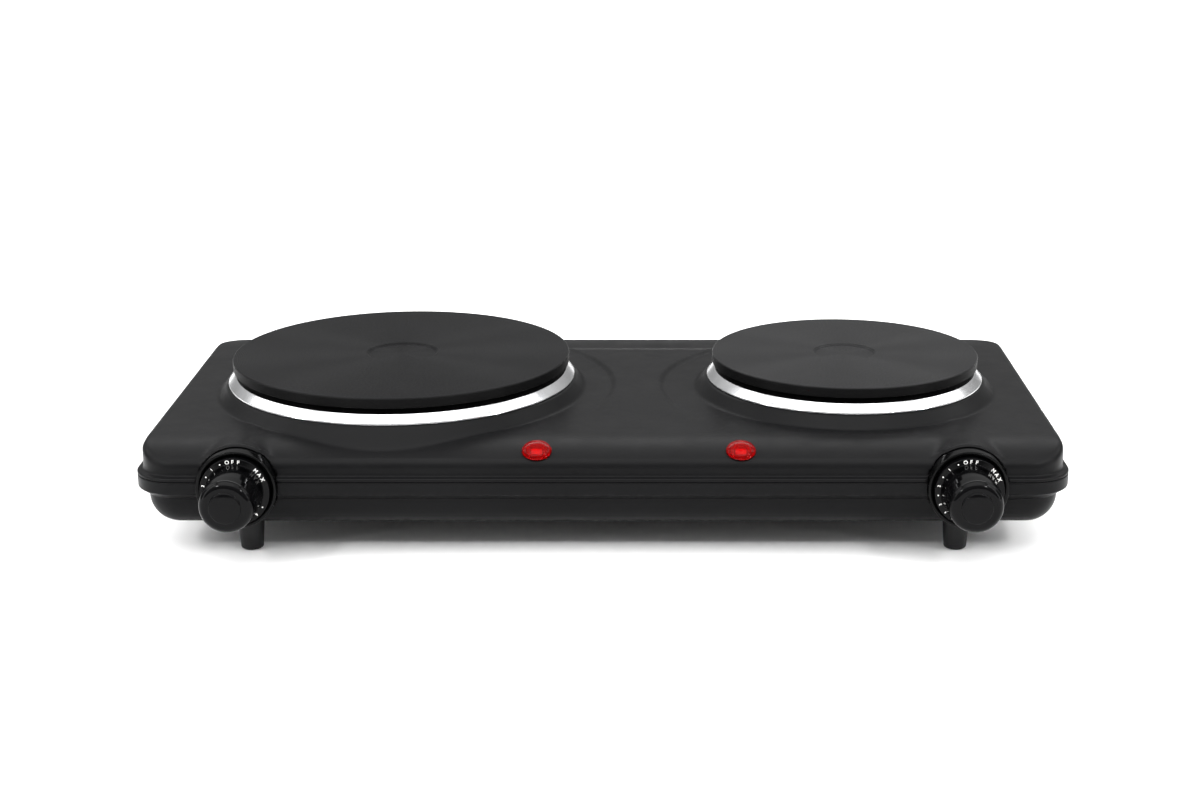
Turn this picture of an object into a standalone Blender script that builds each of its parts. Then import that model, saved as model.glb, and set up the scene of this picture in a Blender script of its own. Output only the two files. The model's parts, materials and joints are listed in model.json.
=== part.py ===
"""Double-burner electric hot plate with cast-iron plates.

Metres, +Z up. The knobs face -Y and the feet stand on Z = 0. The whole object is centred on X = 0 and Y = 0.
"""
from math import atan, cos, hypot, pi, sin

import bmesh
import bpy
from mathutils import Matrix, Vector

# Body
BODY_WIDTH = 0.4780        # across the seam flange
BODY_DEPTH = 0.2306
KNOB_PROUD = 0.0323        # from the flange to the knob faces
BODY_Y = KNOB_PROUD / 2    # puts the middle of body and knobs on Y = 0
CORNER = 0.022             # corner radius of the flange
SHEET = 0.0012
GAP = 0.0003               # clearance between pieces that touch
OVERSHOOT = 0.004          # how far a cutter runs past what it cuts

# Heights above the table
DECK_Z = 0.060
LIP_TOP_Z = 0.0452
SEAM_Z = 0.0433
BAND_LOW_Z = 0.0366
TUB_TOP_Z = 0.0331
PAN_LOW_Z = 0.0165
FLOOR_Z = PAN_LOW_Z + SHEET

# Insets from the flange's outline
WALL_INSET = 0.0033
TUB_INSET = 0.0055
TUB_RADIUS = 0.0150
SHOULDER = 0.0035          # rounding of the deck's side edges

# Front and back aprons of the deck
APRON_RUN = 0.0280         # from the flat deck to the wall
APRON_CURVE = 9.5          # front: drop = APRON_CURVE * run squared
BACK_CURVE = 2.3
APRON_EDGE = 0.006         # radius where the apron turns into the wall
CREASE = 0.00015           # lets two surfaces cross instead of coinciding
APRON_START = BODY_DEPTH / 2 - WALL_INSET - APRON_RUN

# Burners
PLATE_Y = BODY_Y + 0.0016
PLATE_TOP_Z = 0.080
PLATE_LOW_Z = PLATE_TOP_Z - 0.0081
BURNERS = (
    dict(name="large", x=-0.1128, radius=0.0925, recess=0.0186, collar=0.0090, bridge=0.0245),
    dict(name="small", x=0.1320, radius=0.0733, recess=0.0163, collar=0.0099, bridge=0.0282),
)
COLLAR_TOP_Z = 0.0663
COLLAR_TOP_OUT = 0.0033    # collar's top edge beyond the plate
COLLAR_LOW_Z = 0.0526      # where a collar's cone ends, inside the front apron
OPENING_IN = 0.0085        # edge of the deck's opening inside the plate's edge
RING_OUT = 0.0028          # trim ring beyond the plate
BRIDGE_RISE = 0.0018
BRIDGE_Y = (-0.0432, 0.0068, 0.0878, 0.0998)   # foot and top of its front slope, then of its back slope

# Clamping under a plate
STUD_RADIUS = 0.003
NUT_RADIUS = 0.0058
BAR_TOP_Z = 0.0648
BAR_LOW_Z = 0.0628
SHIELD_LOW_Z = 0.0512
SHIELD_THICK = 0.0008
TERMINALS_OFFSET = 0.038   # behind the plate's centre
TERMINALS_TOP_Z = 0.066
TERMINALS_LOW_Z = 0.057

# Controls, with depths measured forward from the plane Y = 0
KNOB_X = 0.1843
KNOB_Z = 0.0404
BEZEL_RADIUS = 0.0203
BEZEL_WELL = 0.0183
BEZEL_FRONT = 0.10265
BEZEL_BACK = 0.0897
BEZEL_HOLE_BACK = 0.0882
SKIRT_RADIUS = 0.0177
SKIRT_FRONT = 0.1058
SKIRT_BACK = 0.1018
KNOB_FACE = KNOB_PROUD + BODY_DEPTH / 2 - BODY_Y
GRIP_RADIUS = 0.0136
SHAFT_RADIUS = 0.003
SHAFT_TIP = 0.1265
SHAFT_END = 0.0782
SCALLOPS = 7
HUMP_RADIUS = 0.0220
HUMP_BACK_RADIUS = 0.0188
HUMP_FRONT = 0.0972
HUMP_BACK = 0.0582
THERMOSTAT_LOW_Z = 0.0284
THERMOSTAT_BACK = 0.0642

# Lamps
LAMPS = (("left", -0.0334), ("right", 0.0702))
LAMP_RUN = 0.0200          # in front of the apron's start
LENS_RADIUS = 0.0076
BARREL_RADIUS = 0.0060

# Feet, posts and screws
FOOT_X = 0.1827
FOOT_RUN = 0.0925          # to the front and back of the body's middle
FOOT_RADIUS = 0.0070
FOOT_LOW_RADIUS = 0.0055
PAD_RADIUS = 0.0040
SCREW_RADIUS = 0.002
HEAD_RADIUS = 0.004
POST_X = 0.2120

# Mains side
GLAND_X = 0.020
GLAND_Z = 0.0270
GLAND_BORE = 0.0034
GLAND_NECK = 0.0043
GLAND_FLANGE = 0.0054
GLAND_BOSS = 0.0070        # pressed flat in the pan's rear wall
GLAND_WALL = BODY_DEPTH / 2 - TUB_INSET + BODY_Y + 0.0010
WIRE_RADIUS = 0.0011
WIRE_GAP = 0.0009          # from a wire's end to the face that it meets at a slight angle

# Finishes: colour, roughness, metallic
PAINT = ((0.024, 0.024, 0.026), 0.42, 0.0)
CAST_IRON = ((0.045, 0.045, 0.047), 0.62, 0.35)
CHROME = ((0.80, 0.81, 0.82), 0.12, 1.0)
GLOSS_BLACK = ((0.012, 0.012, 0.013), 0.12, 0.0)
SATIN_BLACK = ((0.020, 0.020, 0.021), 0.35, 0.0)
LENS_RED = ((0.65, 0.01, 0.01), 0.12, 0.0)
LAMP_GLASS = ((0.95, 0.45, 0.30), 0.15, 0.0)
CERAMIC = ((0.80, 0.76, 0.68), 0.60, 0.0)
STEEL = ((0.55, 0.55, 0.56), 0.32, 1.0)
SHIELD_STEEL = ((0.62, 0.63, 0.64), 0.28, 1.0)
RUBBER = ((0.015, 0.015, 0.015), 0.85, 0.0)
WIRE_SLEEVE = ((0.70, 0.66, 0.56), 0.75, 0.0)
EARTH_BRASS = ((0.72, 0.55, 0.25), 0.30, 1.0)


# ---------------------------------------------------------------- building blocks

def clear_scene():
    for obj in list(bpy.data.objects):
        bpy.data.objects.remove(obj, do_unlink=True)


def new_collection(name):
    collection = bpy.data.collections.new(name)
    bpy.context.scene.collection.children.link(collection)
    return collection


clear_scene()
PARTS = new_collection("double_hot_plate")
CUTTERS = new_collection("cutters")


def part(obj, finish):
    """Puts a sub-part in the object's collection with a material of its own."""
    colour, roughness, metallic = finish
    surface = bpy.data.materials.new(obj.name)
    surface.use_nodes = True
    shader = surface.node_tree.nodes["Principled BSDF"]
    shader.inputs["Base Color"].default_value = (*colour, 1.0)
    shader.inputs["Roughness"].default_value = roughness
    shader.inputs["Metallic"].default_value = metallic
    obj.data.materials.append(surface)
    PARTS.objects.link(obj)
    return obj


def cutter(obj):
    """Keeps a shape that only cuts or joins others."""
    CUTTERS.objects.link(obj)
    obj.hide_render = True
    obj.display_type = "WIRE"
    return obj


def combine(target, other, operation):
    modifier = target.modifiers.new(other.name, "BOOLEAN")
    modifier.operation = operation
    modifier.solver = "EXACT"
    modifier.object = other


def cut(target, *others):
    for other in others:
        combine(target, other, "DIFFERENCE")


def join(target, *others):
    for other in others:
        combine(target, other, "UNION")


def object_from(name, mesh_maker):
    """Makes an object from a bmesh that mesh_maker fills."""
    mesh = bpy.data.meshes.new(name)
    bm = bmesh.new()
    mesh_maker(bm)
    bm.to_mesh(mesh)
    bm.free()
    return bpy.data.objects.new(name, mesh)


def box(name, low, high):
    size = Vector(high) - Vector(low)
    middle = (Vector(high) + Vector(low)) / 2
    place = Matrix.Translation(middle) @ Matrix.Diagonal((*size, 1.0))
    return object_from(name, lambda bm: bmesh.ops.create_cube(bm, size=1.0, matrix=place))


def cylinders(name, radius, low, high, spots=((0.0, 0.0),), sides=16, top_radius=None):
    """Capped cylinders or cones along Z, one at each spot (x, y)."""
    def fill(bm):
        for x, y in spots:
            bmesh.ops.create_cone(
                bm, cap_ends=True, segments=sides, radius1=radius, radius2=top_radius or radius,
                depth=high - low, matrix=Matrix.Translation((x, y, (low + high) / 2)))
    return object_from(name, fill)


def turned(name, profile, steps=24):
    """Turns a profile of (radius, height) points about Z. It runs down the outer side.

    A profile that starts on the axis ends on it too; any other is a closed ring section.
    """
    count = len(profile)
    edges = [(i, i + 1) for i in range(count - 1)]
    if profile[0][0] > 0:
        edges.append((count - 1, 0))
    mesh = bpy.data.meshes.new(name)
    mesh.from_pydata([(radius, 0.0, height) for radius, height in profile], edges, [])
    obj = bpy.data.objects.new(name, mesh)
    screw = obj.modifiers.new("turn", "SCREW")
    screw.steps = steps
    screw.render_steps = steps
    screw.use_merge_vertices = True
    screw.merge_threshold = 0.00001
    return obj


def to_mesh(curve_object):
    """Replaces a curve object by its mesh, with the caps welded on."""
    bpy.context.scene.collection.objects.link(curve_object)
    graph = bpy.context.evaluated_depsgraph_get()
    mesh = bpy.data.meshes.new_from_object(curve_object.evaluated_get(graph))
    bm = bmesh.new()
    bm.from_mesh(mesh)
    bmesh.ops.remove_doubles(bm, verts=bm.verts, dist=0.00001)
    bm.to_mesh(mesh)
    bm.free()
    name = curve_object.name
    place = curve_object.matrix_world.copy()
    bpy.data.objects.remove(curve_object)
    obj = bpy.data.objects.new(name, mesh)
    obj.matrix_world = place
    return obj


def slab(name, outline, thickness, rounding=0.0):
    """A flat outline in XY, extruded equally up and down, with rounded rims."""
    curve = bpy.data.curves.new(name, "CURVE")
    curve.dimensions = "2D"
    curve.fill_mode = "BOTH"
    curve.extrude = thickness / 2 - rounding
    curve.bevel_depth = rounding
    curve.bevel_resolution = 1
    spline = curve.splines.new("POLY")
    spline.points.add(len(outline) - 1)
    for point, (x, y) in zip(spline.points, outline):
        point.co = (x, y, 0.0, 1.0)
    spline.use_cyclic_u = True
    return bpy.data.objects.new(name, curve)


def body_outline(inset, steps=4):
    """The body's rounded rectangle, moved inward by inset from the flange."""
    radius = CORNER - inset
    corners = ((1, 1), (-1, 1), (-1, -1), (1, -1))
    points = []
    for quarter, (side_x, side_y) in enumerate(corners):
        middle_x = side_x * (BODY_WIDTH / 2 - CORNER)
        middle_y = BODY_Y + side_y * (BODY_DEPTH / 2 - CORNER)
        for step in range(steps + 1):
            angle = (quarter + step / steps) * pi / 2
            points.append((middle_x + radius * cos(angle), middle_y + radius * sin(angle)))
    return points


def section_slab(name, section, x, width):
    """A section drawn in Y and Z, as a solid of the given width about x."""
    shape = slab(name, section, width)
    shape.rotation_euler = (pi / 2, 0.0, pi / 2)
    shape.location.x = x
    return cutter(to_mesh(shape))


def face_front(obj, x, z):
    """Turns an object made along Z so that its heights run forward, from the plane Y = 0."""
    obj.rotation_euler = (pi / 2, 0.0, 0.0)
    obj.location = (x, 0.0, z)
    return obj


# ---------------------------------------------------------------- top cover

def deck_profile(curve, offset):
    """Half section of the deck, from where its apron starts to the wall, as (distance, height)."""
    edge_middle = APRON_START + APRON_RUN + CREASE - APRON_EDGE
    end = APRON_RUN - APRON_EDGE
    for _ in range(4):
        end = edge_middle - APRON_START + APRON_EDGE * 2 * curve * end / hypot(1.0, 2 * curve * end)
    points = []
    for step in range(6):
        run = end * step / 5
        slope = 2 * curve * run
        length = hypot(1.0, slope)
        distance = APRON_START + run - offset * slope / length
        height = DECK_Z - curve * run * run - offset / length
        points.append((distance, height))
    start = atan(1 / slope)
    middle_z = DECK_Z - curve * end * end - APRON_EDGE * sin(start)
    for step in range(1, 5):
        angle = start * (1 - step / 4)
        radius = APRON_EDGE - offset
        points.append((edge_middle + radius * cos(angle), middle_z + radius * sin(angle)))
    return points


def deck_body(name, offset, low):
    """The deck with its aprons and walls as a solid, moved inward by offset and cut off at low."""
    top = DECK_Z + CREASE - offset
    rounding = SHOULDER - offset
    height = 2 * (top - low) + OVERSHOOT
    block = slab(name, body_outline(WALL_INSET + offset + rounding), height, rounding)
    block.location.z = top - height / 2
    block = to_mesh(block)
    front = [(BODY_Y - y, z) for y, z in deck_profile(APRON_CURVE, offset)]
    back = [(BODY_Y + y, z) for y, z in deck_profile(BACK_CURVE, offset)]
    outline = [*front, (front[-1][0], low), (back[-1][0], low), *reversed(back)]
    combine(block, section_slab(name + "_section", outline, 0.0, BODY_WIDTH + OVERSHOOT), "INTERSECT")
    return block


def collar_body(burner, offset, low):
    """The cone under a burner's ring as a solid, moved inward by offset."""
    top_radius = burner["radius"] + COLLAR_TOP_OUT
    base_radius = burner["radius"] + burner["collar"]
    slope = (base_radius - top_radius) / (COLLAR_TOP_Z - DECK_Z)
    sideways = offset * (hypot(1.0, slope) - slope)
    top_z = COLLAR_TOP_Z - offset
    top = top_radius - sideways
    bottom = top + (top_z - low) * slope
    cone = cylinders("collar_body", bottom, low, top_z, sides=40, top_radius=top)
    cone.location = (burner["x"], PLATE_Y, 0.0)
    return cutter(cone)


def bridge_pad():
    """The raised pad between the burners, bounded by an arc around each of them."""
    low = DECK_Z - SHEET / 2
    high = DECK_Z + BRIDGE_RISE
    foot = DECK_Z - CREASE
    front, front_top, back_top, back = BRIDGE_Y
    left, right = (burner["x"] for burner in BURNERS)
    section = [(front, low), (back, low), (back, foot), (back_top, high), (front_top, high), (front, foot)]
    pad = section_slab("bridge", section, (left + right) / 2, right - left)
    for burner in BURNERS:
        radius = burner["radius"] + burner["bridge"]
        arc = cylinders("bridge_arc", radius, low - OVERSHOOT, high + OVERSHOOT, sides=48)
        arc.location = (burner["x"], PLATE_Y, 0.0)
        cut(pad, cutter(arc))
    return pad


def hump_body(x, offset, front):
    """The swelling of the cover over a knob's bezel as a solid cone, which ends at front."""
    part_way = (front - HUMP_BACK) / (HUMP_FRONT - HUMP_BACK)
    radius = HUMP_BACK_RADIUS + (HUMP_RADIUS - HUMP_BACK_RADIUS) * part_way
    shape = cylinders("hump_body", HUMP_BACK_RADIUS - offset, HUMP_BACK, front, sides=28,
                      top_radius=radius - offset)
    return cutter(face_front(shape, x, KNOB_Z))


def lamp_place(x):
    """Place of a lamp: on the front apron, with Z along its normal."""
    tilt = Matrix.Rotation(atan(2 * APRON_CURVE * LAMP_RUN), 4, "X")
    y = BODY_Y - APRON_START - LAMP_RUN
    return Matrix.Translation((x, y, DECK_Z - APRON_CURVE * LAMP_RUN ** 2)) @ tilt


def top_cover(bezel_holes):
    cover = deck_body("top_cover", 0.0, SEAM_Z - 0.0010)
    lip_height = 2 * (LIP_TOP_Z - SEAM_Z) + 0.001
    lip = slab("lip", body_outline(0.0008), lip_height, 0.0008)
    lip.location.z = LIP_TOP_Z - lip_height / 2
    join(cover, cutter(to_mesh(lip)), bridge_pad())
    join(cover, *(collar_body(burner, 0.0, COLLAR_LOW_Z) for burner in BURNERS))
    join(cover, *(hump_body(side * KNOB_X, 0.0, HUMP_FRONT) for side in (-1, 1)))
    below = -OVERSHOOT
    cut(cover, cutter(box("below_seam", (-0.3, -0.2, below), (0.3, 0.2, SEAM_Z))))
    cut(cover, cutter(deck_body("deck_hollow", SHEET, SEAM_Z - OVERSHOOT)))
    lip_hollow = slab("lip_hollow", body_outline(SHEET), 2 * (LIP_TOP_Z - SHEET - SEAM_Z))
    lip_hollow.location.z = SEAM_Z
    cut(cover, cutter(to_mesh(lip_hollow)))
    cut(cover, *(collar_body(burner, SHEET, COLLAR_LOW_Z - SHEET) for burner in BURNERS))
    for burner in BURNERS:
        opening = cylinders("opening", burner["radius"] - OPENING_IN, DECK_Z, PLATE_TOP_Z, sides=40)
        opening.location = (burner["x"], PLATE_Y, 0.0)
        cut(cover, cutter(opening))
    hollow_front = BEZEL_HOLE_BACK + GAP
    cut(cover, *(hump_body(side * KNOB_X, SHEET, hollow_front) for side in (-1, 1)), *bezel_holes)
    for _, x in LAMPS:
        hole = cylinders("lamp_hole", BARREL_RADIUS + 2 * GAP, -OVERSHOOT, OVERSHOOT)
        hole.matrix_world = lamp_place(x)
        cut(cover, cutter(hole))
    part(cover, PAINT)


# ---------------------------------------------------------------- base pan

def pan_levels():
    """The pan's outer surface as (inset, height) steps from the rim to the floor."""
    levels = [(0.0006, SEAM_Z - GAP), (0.0, SEAM_Z - GAP - 0.0006), (0.0, BAND_LOW_Z)]
    levels.append((TUB_INSET, TUB_TOP_Z))
    for step in range(5):
        angle = step / 4 * pi / 2
        inset = TUB_INSET + TUB_RADIUS * (1 - cos(angle))
        levels.append((inset, PAN_LOW_Z + TUB_RADIUS * (1 - sin(angle))))
    return levels


def pan_shell(name):
    """An open tub, made by insetting and lowering one face level by level."""
    levels = pan_levels()

    def fill(bm):
        inset, height = levels[0]
        rim = [bm.verts.new((x, y, height)) for x, y in body_outline(inset)]
        floor = bm.faces.new(reversed(rim))
        bm.normal_update()
        for (inset, height), (next_inset, next_height) in zip(levels, levels[1:]):
            bmesh.ops.inset_individual(bm, faces=[floor], thickness=next_inset - inset,
                                       depth=height - next_height, use_even_offset=True)
    pan = object_from(name, fill)
    wall = pan.modifiers.new("sheet", "SOLIDIFY")
    wall.thickness = SHEET
    wall.offset = -1.0
    wall.use_even_offset = True
    return pan


def vents():
    """Slots in the pan's floor under each burner."""
    def fill(bm):
        for burner in BURNERS:
            for column in range(-3, 4):
                place = Matrix.Translation((burner["x"] + column * 0.012, PLATE_Y, FLOOR_Z))
                size = Matrix.Diagonal((0.004, 0.036, 2 * OVERSHOOT, 1.0))
                bmesh.ops.create_cube(bm, size=1.0, matrix=place @ size)
    return cutter(object_from("vents", fill))


def foot_spots():
    names = ((y_name, x_name) for y_name in ("front", "rear") for x_name in ("left", "right"))
    for y_name, x_name in names:
        x = FOOT_X if x_name == "right" else -FOOT_X
        y = BODY_Y + (FOOT_RUN if y_name == "rear" else -FOOT_RUN)
        yield y_name + "_" + x_name, x, y


def post_spots():
    return (("left", -POST_X, BODY_Y), ("right", POST_X, BODY_Y))


def base_pan(bezel_holes):
    pan = pan_shell("base_pan")
    boss = cylinders("gland_boss", GLAND_BOSS, -GLAND_WALL, -GLAND_WALL + 0.012)
    join(pan, cutter(face_front(boss, GLAND_X, GLAND_Z)))
    hollow = cylinders("gland_hollow", GLAND_BOSS - SHEET, -GLAND_WALL + SHEET, -GLAND_WALL + 0.016)
    hole = cylinders("gland_hole", GLAND_NECK + GAP, -GLAND_WALL - OVERSHOOT, -GLAND_WALL + 0.016)
    cut(pan, cutter(face_front(hollow, GLAND_X, GLAND_Z)), cutter(face_front(hole, GLAND_X, GLAND_Z)))
    cut(pan, *bezel_holes, vents())
    spots = [(x, y) for _, x, y in foot_spots()] + [(x, y) for _, x, y in post_spots()]
    cut(pan, cutter(cylinders("screw_holes", SCREW_RADIUS + GAP + 0.0001, PAN_LOW_Z - OVERSHOOT,
                              FLOOR_Z + OVERSHOOT, spots, sides=12)))
    part(pan, PAINT)


# ---------------------------------------------------------------- burners

def at_burner(obj, burner):
    obj.location = (burner["x"], PLATE_Y, 0.0)
    return obj


def cast_plate(burner):
    edge = burner["radius"]
    recess = burner["recess"]
    profile = [
        (0.0, PLATE_TOP_Z - 0.0012), (recess, PLATE_TOP_Z - 0.0012), (recess + 0.0010, PLATE_TOP_Z),
        (edge - 0.0008, PLATE_TOP_Z), (edge, PLATE_TOP_Z - 0.0008), (edge - 0.0007, PLATE_LOW_Z),
        (edge - 0.0055, PLATE_LOW_Z), (edge - 0.0060, 0.0745), (0.0240, 0.0745), (0.0100, 0.0710),
        (STUD_RADIUS + GAP, 0.0710), (STUD_RADIUS + GAP, 0.0765), (0.0, 0.0765)]
    plate = turned(burner["name"] + "_plate", profile, steps=40)
    part(at_burner(plate, burner), CAST_IRON)


def trim_ring(burner):
    edge = burner["radius"]
    outer = edge + RING_OUT
    profile = [
        (edge - 0.0080, 0.0716), (edge - 0.0012, 0.0716), (outer - 0.0004, 0.0677),
        (outer, 0.0672), (outer, 0.0666), (outer - 0.0014, 0.0666), (edge - 0.0018, 0.0706),
        (edge - 0.0080, 0.0706)]
    part(at_burner(turned(burner["name"] + "_trim_ring", profile, steps=40), burner), CHROME)


def heating_element(burner):
    outer = burner["radius"] - 0.0100
    profile = [(outer, 0.0742), (outer, 0.0703), (0.0260, 0.0703), (0.0260, 0.0742)]
    element = turned(burner["name"] + "_heating_element", profile)
    spots = [(offset, TERMINALS_OFFSET) for offset in (-0.009, 0.0, 0.009)]
    pins = cylinders("terminal_pins", 0.0012, TERMINALS_TOP_Z + GAP, 0.0725, spots, sides=8)
    join(element, cutter(at_burner(pins, burner)))
    part(at_burner(element, burner), CERAMIC)


def element_cover(burner):
    outer = burner["radius"] - 0.0092
    bore = STUD_RADIUS + GAP
    profile = [(outer, 0.0700), (outer, 0.0690), (bore, 0.0690), (bore, 0.0700)]
    disc = turned(burner["name"] + "_element_cover", profile)
    window = box("terminal_window", (-0.013, TERMINALS_OFFSET - 0.004, 0.0660),
                 (0.013, TERMINALS_OFFSET + 0.004, 0.0740))
    cut(disc, cutter(at_burner(window, burner)))
    part(at_burner(disc, burner), STEEL)


def clamp_bar(burner):
    reach = burner["radius"] - 0.0025
    bar = box(burner["name"] + "_clamp_bar", (-reach, -0.010, BAR_LOW_Z), (reach, 0.010, BAR_TOP_Z))
    hole = cylinders("bar_hole", STUD_RADIUS + GAP, BAR_LOW_Z - OVERSHOOT, BAR_TOP_Z + OVERSHOOT)
    cut(bar, cutter(at_burner(hole, burner)))
    part(at_burner(bar, burner), STEEL)


def clamp_stud(burner):
    collar_low = BAR_TOP_Z + GAP
    profile = [
        (0.0, 0.0762), (STUD_RADIUS, 0.0762), (STUD_RADIUS, 0.0687), (NUT_RADIUS, 0.0687),
        (NUT_RADIUS, collar_low), (STUD_RADIUS, collar_low), (STUD_RADIUS, 0.0555), (0.0, 0.0555)]
    part(at_burner(turned(burner["name"] + "_clamp_stud", profile, steps=12), burner), STEEL)


def clamp_nut(burner):
    top = BAR_LOW_Z - GAP - SHIELD_THICK - GAP
    nut = cylinders(burner["name"] + "_clamp_nut", NUT_RADIUS, top - 0.0036, top, sides=6)
    hole = cylinders("nut_hole", STUD_RADIUS + GAP, top - 0.010, top + OVERSHOOT, sides=12)
    cut(nut, cutter(at_burner(hole, burner)))
    part(at_burner(nut, burner), STEEL)


def heat_shield(burner):
    hub_top = BAR_LOW_Z - GAP
    floor = SHIELD_LOW_Z + SHIELD_THICK
    edge = burner["radius"] - 0.009
    bore = STUD_RADIUS + GAP
    inside = [(bore, hub_top), (0.0100, hub_top), (0.0200, floor), (edge - 0.010, floor), (edge, 0.0605)]
    outside = [(radius, height - SHIELD_THICK) for radius, height in reversed(inside)]
    outside[0] = (edge + SHIELD_THICK, 0.0605)
    outside[1] = (edge - 0.010 + SHIELD_THICK / 2, SHIELD_LOW_Z)
    outside[3] = (0.0100 - SHIELD_THICK / 2, hub_top - SHIELD_THICK)
    dish = turned(burner["name"] + "_heat_shield", inside + outside, steps=20)
    hole = cylinders("wire_hole", 0.0045, SHIELD_LOW_Z - OVERSHOOT, floor + 0.003, [(0.0, TERMINALS_OFFSET)])
    cut(dish, cutter(at_burner(hole, burner)))
    part(at_burner(dish, burner), SHIELD_STEEL)


def terminal_block(burner):
    low = (-0.017, TERMINALS_OFFSET - 0.007, TERMINALS_LOW_Z)
    high = (0.017, TERMINALS_OFFSET + 0.007, TERMINALS_TOP_Z)
    block = box(burner["name"] + "_terminal_block", low, high)
    slots = cutter(at_burner(box("block_slot", (-0.020, TERMINALS_OFFSET - 0.002, 0.0635),
                                 (0.020, TERMINALS_OFFSET + 0.002, 0.0700)), burner))
    cut(block, slots)
    part(at_burner(block, burner), CERAMIC)


# ---------------------------------------------------------------- controls

def bezel(side, x):
    rim = 0.0007
    floor = BEZEL_FRONT - 0.0028
    profile = [
        (BEZEL_WELL, BEZEL_FRONT), (BEZEL_RADIUS - rim, BEZEL_FRONT),
        (BEZEL_RADIUS, BEZEL_FRONT - rim), (BEZEL_RADIUS, BEZEL_BACK), (BEZEL_WELL, BEZEL_BACK),
        (BEZEL_WELL, floor - 0.002), (SHAFT_RADIUS + 0.0006, floor - 0.002),
        (SHAFT_RADIUS + 0.0006, floor), (BEZEL_WELL, floor)]
    part(face_front(turned(side + "_bezel", profile, steps=24), x, KNOB_Z), SATIN_BLACK)


def knob(side, x):
    bore = SHAFT_RADIUS + GAP
    profile = [
        (0.0, KNOB_FACE), (0.0070, KNOB_FACE), (0.0080, KNOB_FACE - 0.0012),
        (GRIP_RADIUS - 0.0022, KNOB_FACE - 0.0012), (GRIP_RADIUS - 0.0006, KNOB_FACE - 0.0020),
        (GRIP_RADIUS, KNOB_FACE - 0.0038), (GRIP_RADIUS + 0.0003, KNOB_FACE - 0.0150),
        (0.0147, SKIRT_FRONT + 0.0012), (0.0149, SKIRT_FRONT),
        (SKIRT_RADIUS, SKIRT_FRONT), (SKIRT_RADIUS, SKIRT_BACK), (bore, SKIRT_BACK),
        (bore, SHAFT_TIP + GAP), (0.0, SHAFT_TIP + GAP)]
    grip = face_front(turned(side + "_knob", profile, steps=24), x, KNOB_Z)
    turns = (2 * pi * (index + 0.5) / SCALLOPS for index in range(SCALLOPS))
    spots = [(0.0163 * sin(turn), 0.0163 * cos(turn)) for turn in turns]
    scallops = cylinders("scallops", 0.0030, SKIRT_FRONT + 0.0014, SKIRT_FRONT + 0.0095, spots, sides=8)
    cut(grip, cutter(face_front(scallops, x, KNOB_Z)))
    part(grip, GLOSS_BLACK)


def thermostat_shaft(side, x):
    profile = [
        (0.0, SHAFT_TIP), (SHAFT_RADIUS - 0.0004, SHAFT_TIP), (SHAFT_RADIUS, SHAFT_TIP - 0.0004),
        (SHAFT_RADIUS, SHAFT_END), (0.0, SHAFT_END)]
    shaft = turned(side + "_thermostat_shaft", profile, steps=16)
    part(face_front(shaft, x, KNOB_Z), STEEL)


def thermostat_bracket(side, x):
    front = BEZEL_BACK - GAP
    back = front - SHEET
    plate = box(side + "_thermostat_bracket", (x - 0.016, -front, THERMOSTAT_LOW_Z - GAP - SHEET),
                (x + 0.016, -back, 0.0530))
    shelf = box("shelf", (x - 0.0155, -back - SHEET / 2, THERMOSTAT_LOW_Z - GAP - SHEET + 0.0001),
                (x + 0.0155, -THERMOSTAT_BACK, THERMOSTAT_LOW_Z - GAP))
    join(plate, cutter(shelf))
    hole = cylinders("bracket_hole", SHAFT_RADIUS + 2 * GAP, back - OVERSHOOT, front + OVERSHOOT)
    cut(plate, cutter(face_front(hole, x, KNOB_Z)))
    part(plate, STEEL)


def thermostat(side, x):
    front = BEZEL_BACK - GAP - SHEET - GAP
    body = box(side + "_thermostat", (x - 0.013, -front, THERMOSTAT_LOW_Z),
               (x + 0.013, -THERMOSTAT_BACK, 0.0524))
    bore = cylinders("thermostat_bore", SHAFT_RADIUS + GAP, SHAFT_END - GAP, front + OVERSHOOT)
    groove = box("thermostat_groove", (x - 0.016, -front + 0.011, 0.0480), (x + 0.016, -0.0682, 0.0560))
    cut(body, cutter(face_front(bore, x, KNOB_Z)), cutter(groove))
    part(body, CERAMIC)


# ---------------------------------------------------------------- lamps

def lamp(side, x):
    rim = LENS_RADIUS
    inner = BARREL_RADIUS - 0.001
    lens_profile = [
        (0.0, 0.0036), (rim * 0.50, 0.0032), (rim * 0.88, 0.0019), (rim, 0.0008), (rim, GAP),
        (BARREL_RADIUS, GAP), (BARREL_RADIUS, -0.0110), (inner, -0.0110), (inner, 0.0004),
        (0.0, 0.0012)]
    lens = turned(side + "_lamp_lens", lens_profile, steps=16)
    bulb_profile = [
        (0.0, -0.0006), (0.0016, -0.0012), (0.0024, -0.0030), (0.0024, -0.0085), (0.0046, -0.0085),
        (0.0046, -0.0108), (0.0, -0.0108)]
    bulb = turned(side + "_lamp_bulb", bulb_profile, steps=12)
    for obj, finish in ((lens, LENS_RED), (bulb, LAMP_GLASS)):
        obj.matrix_world = lamp_place(x)
        part(obj, finish)


# ---------------------------------------------------------------- feet, posts and screws

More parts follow.
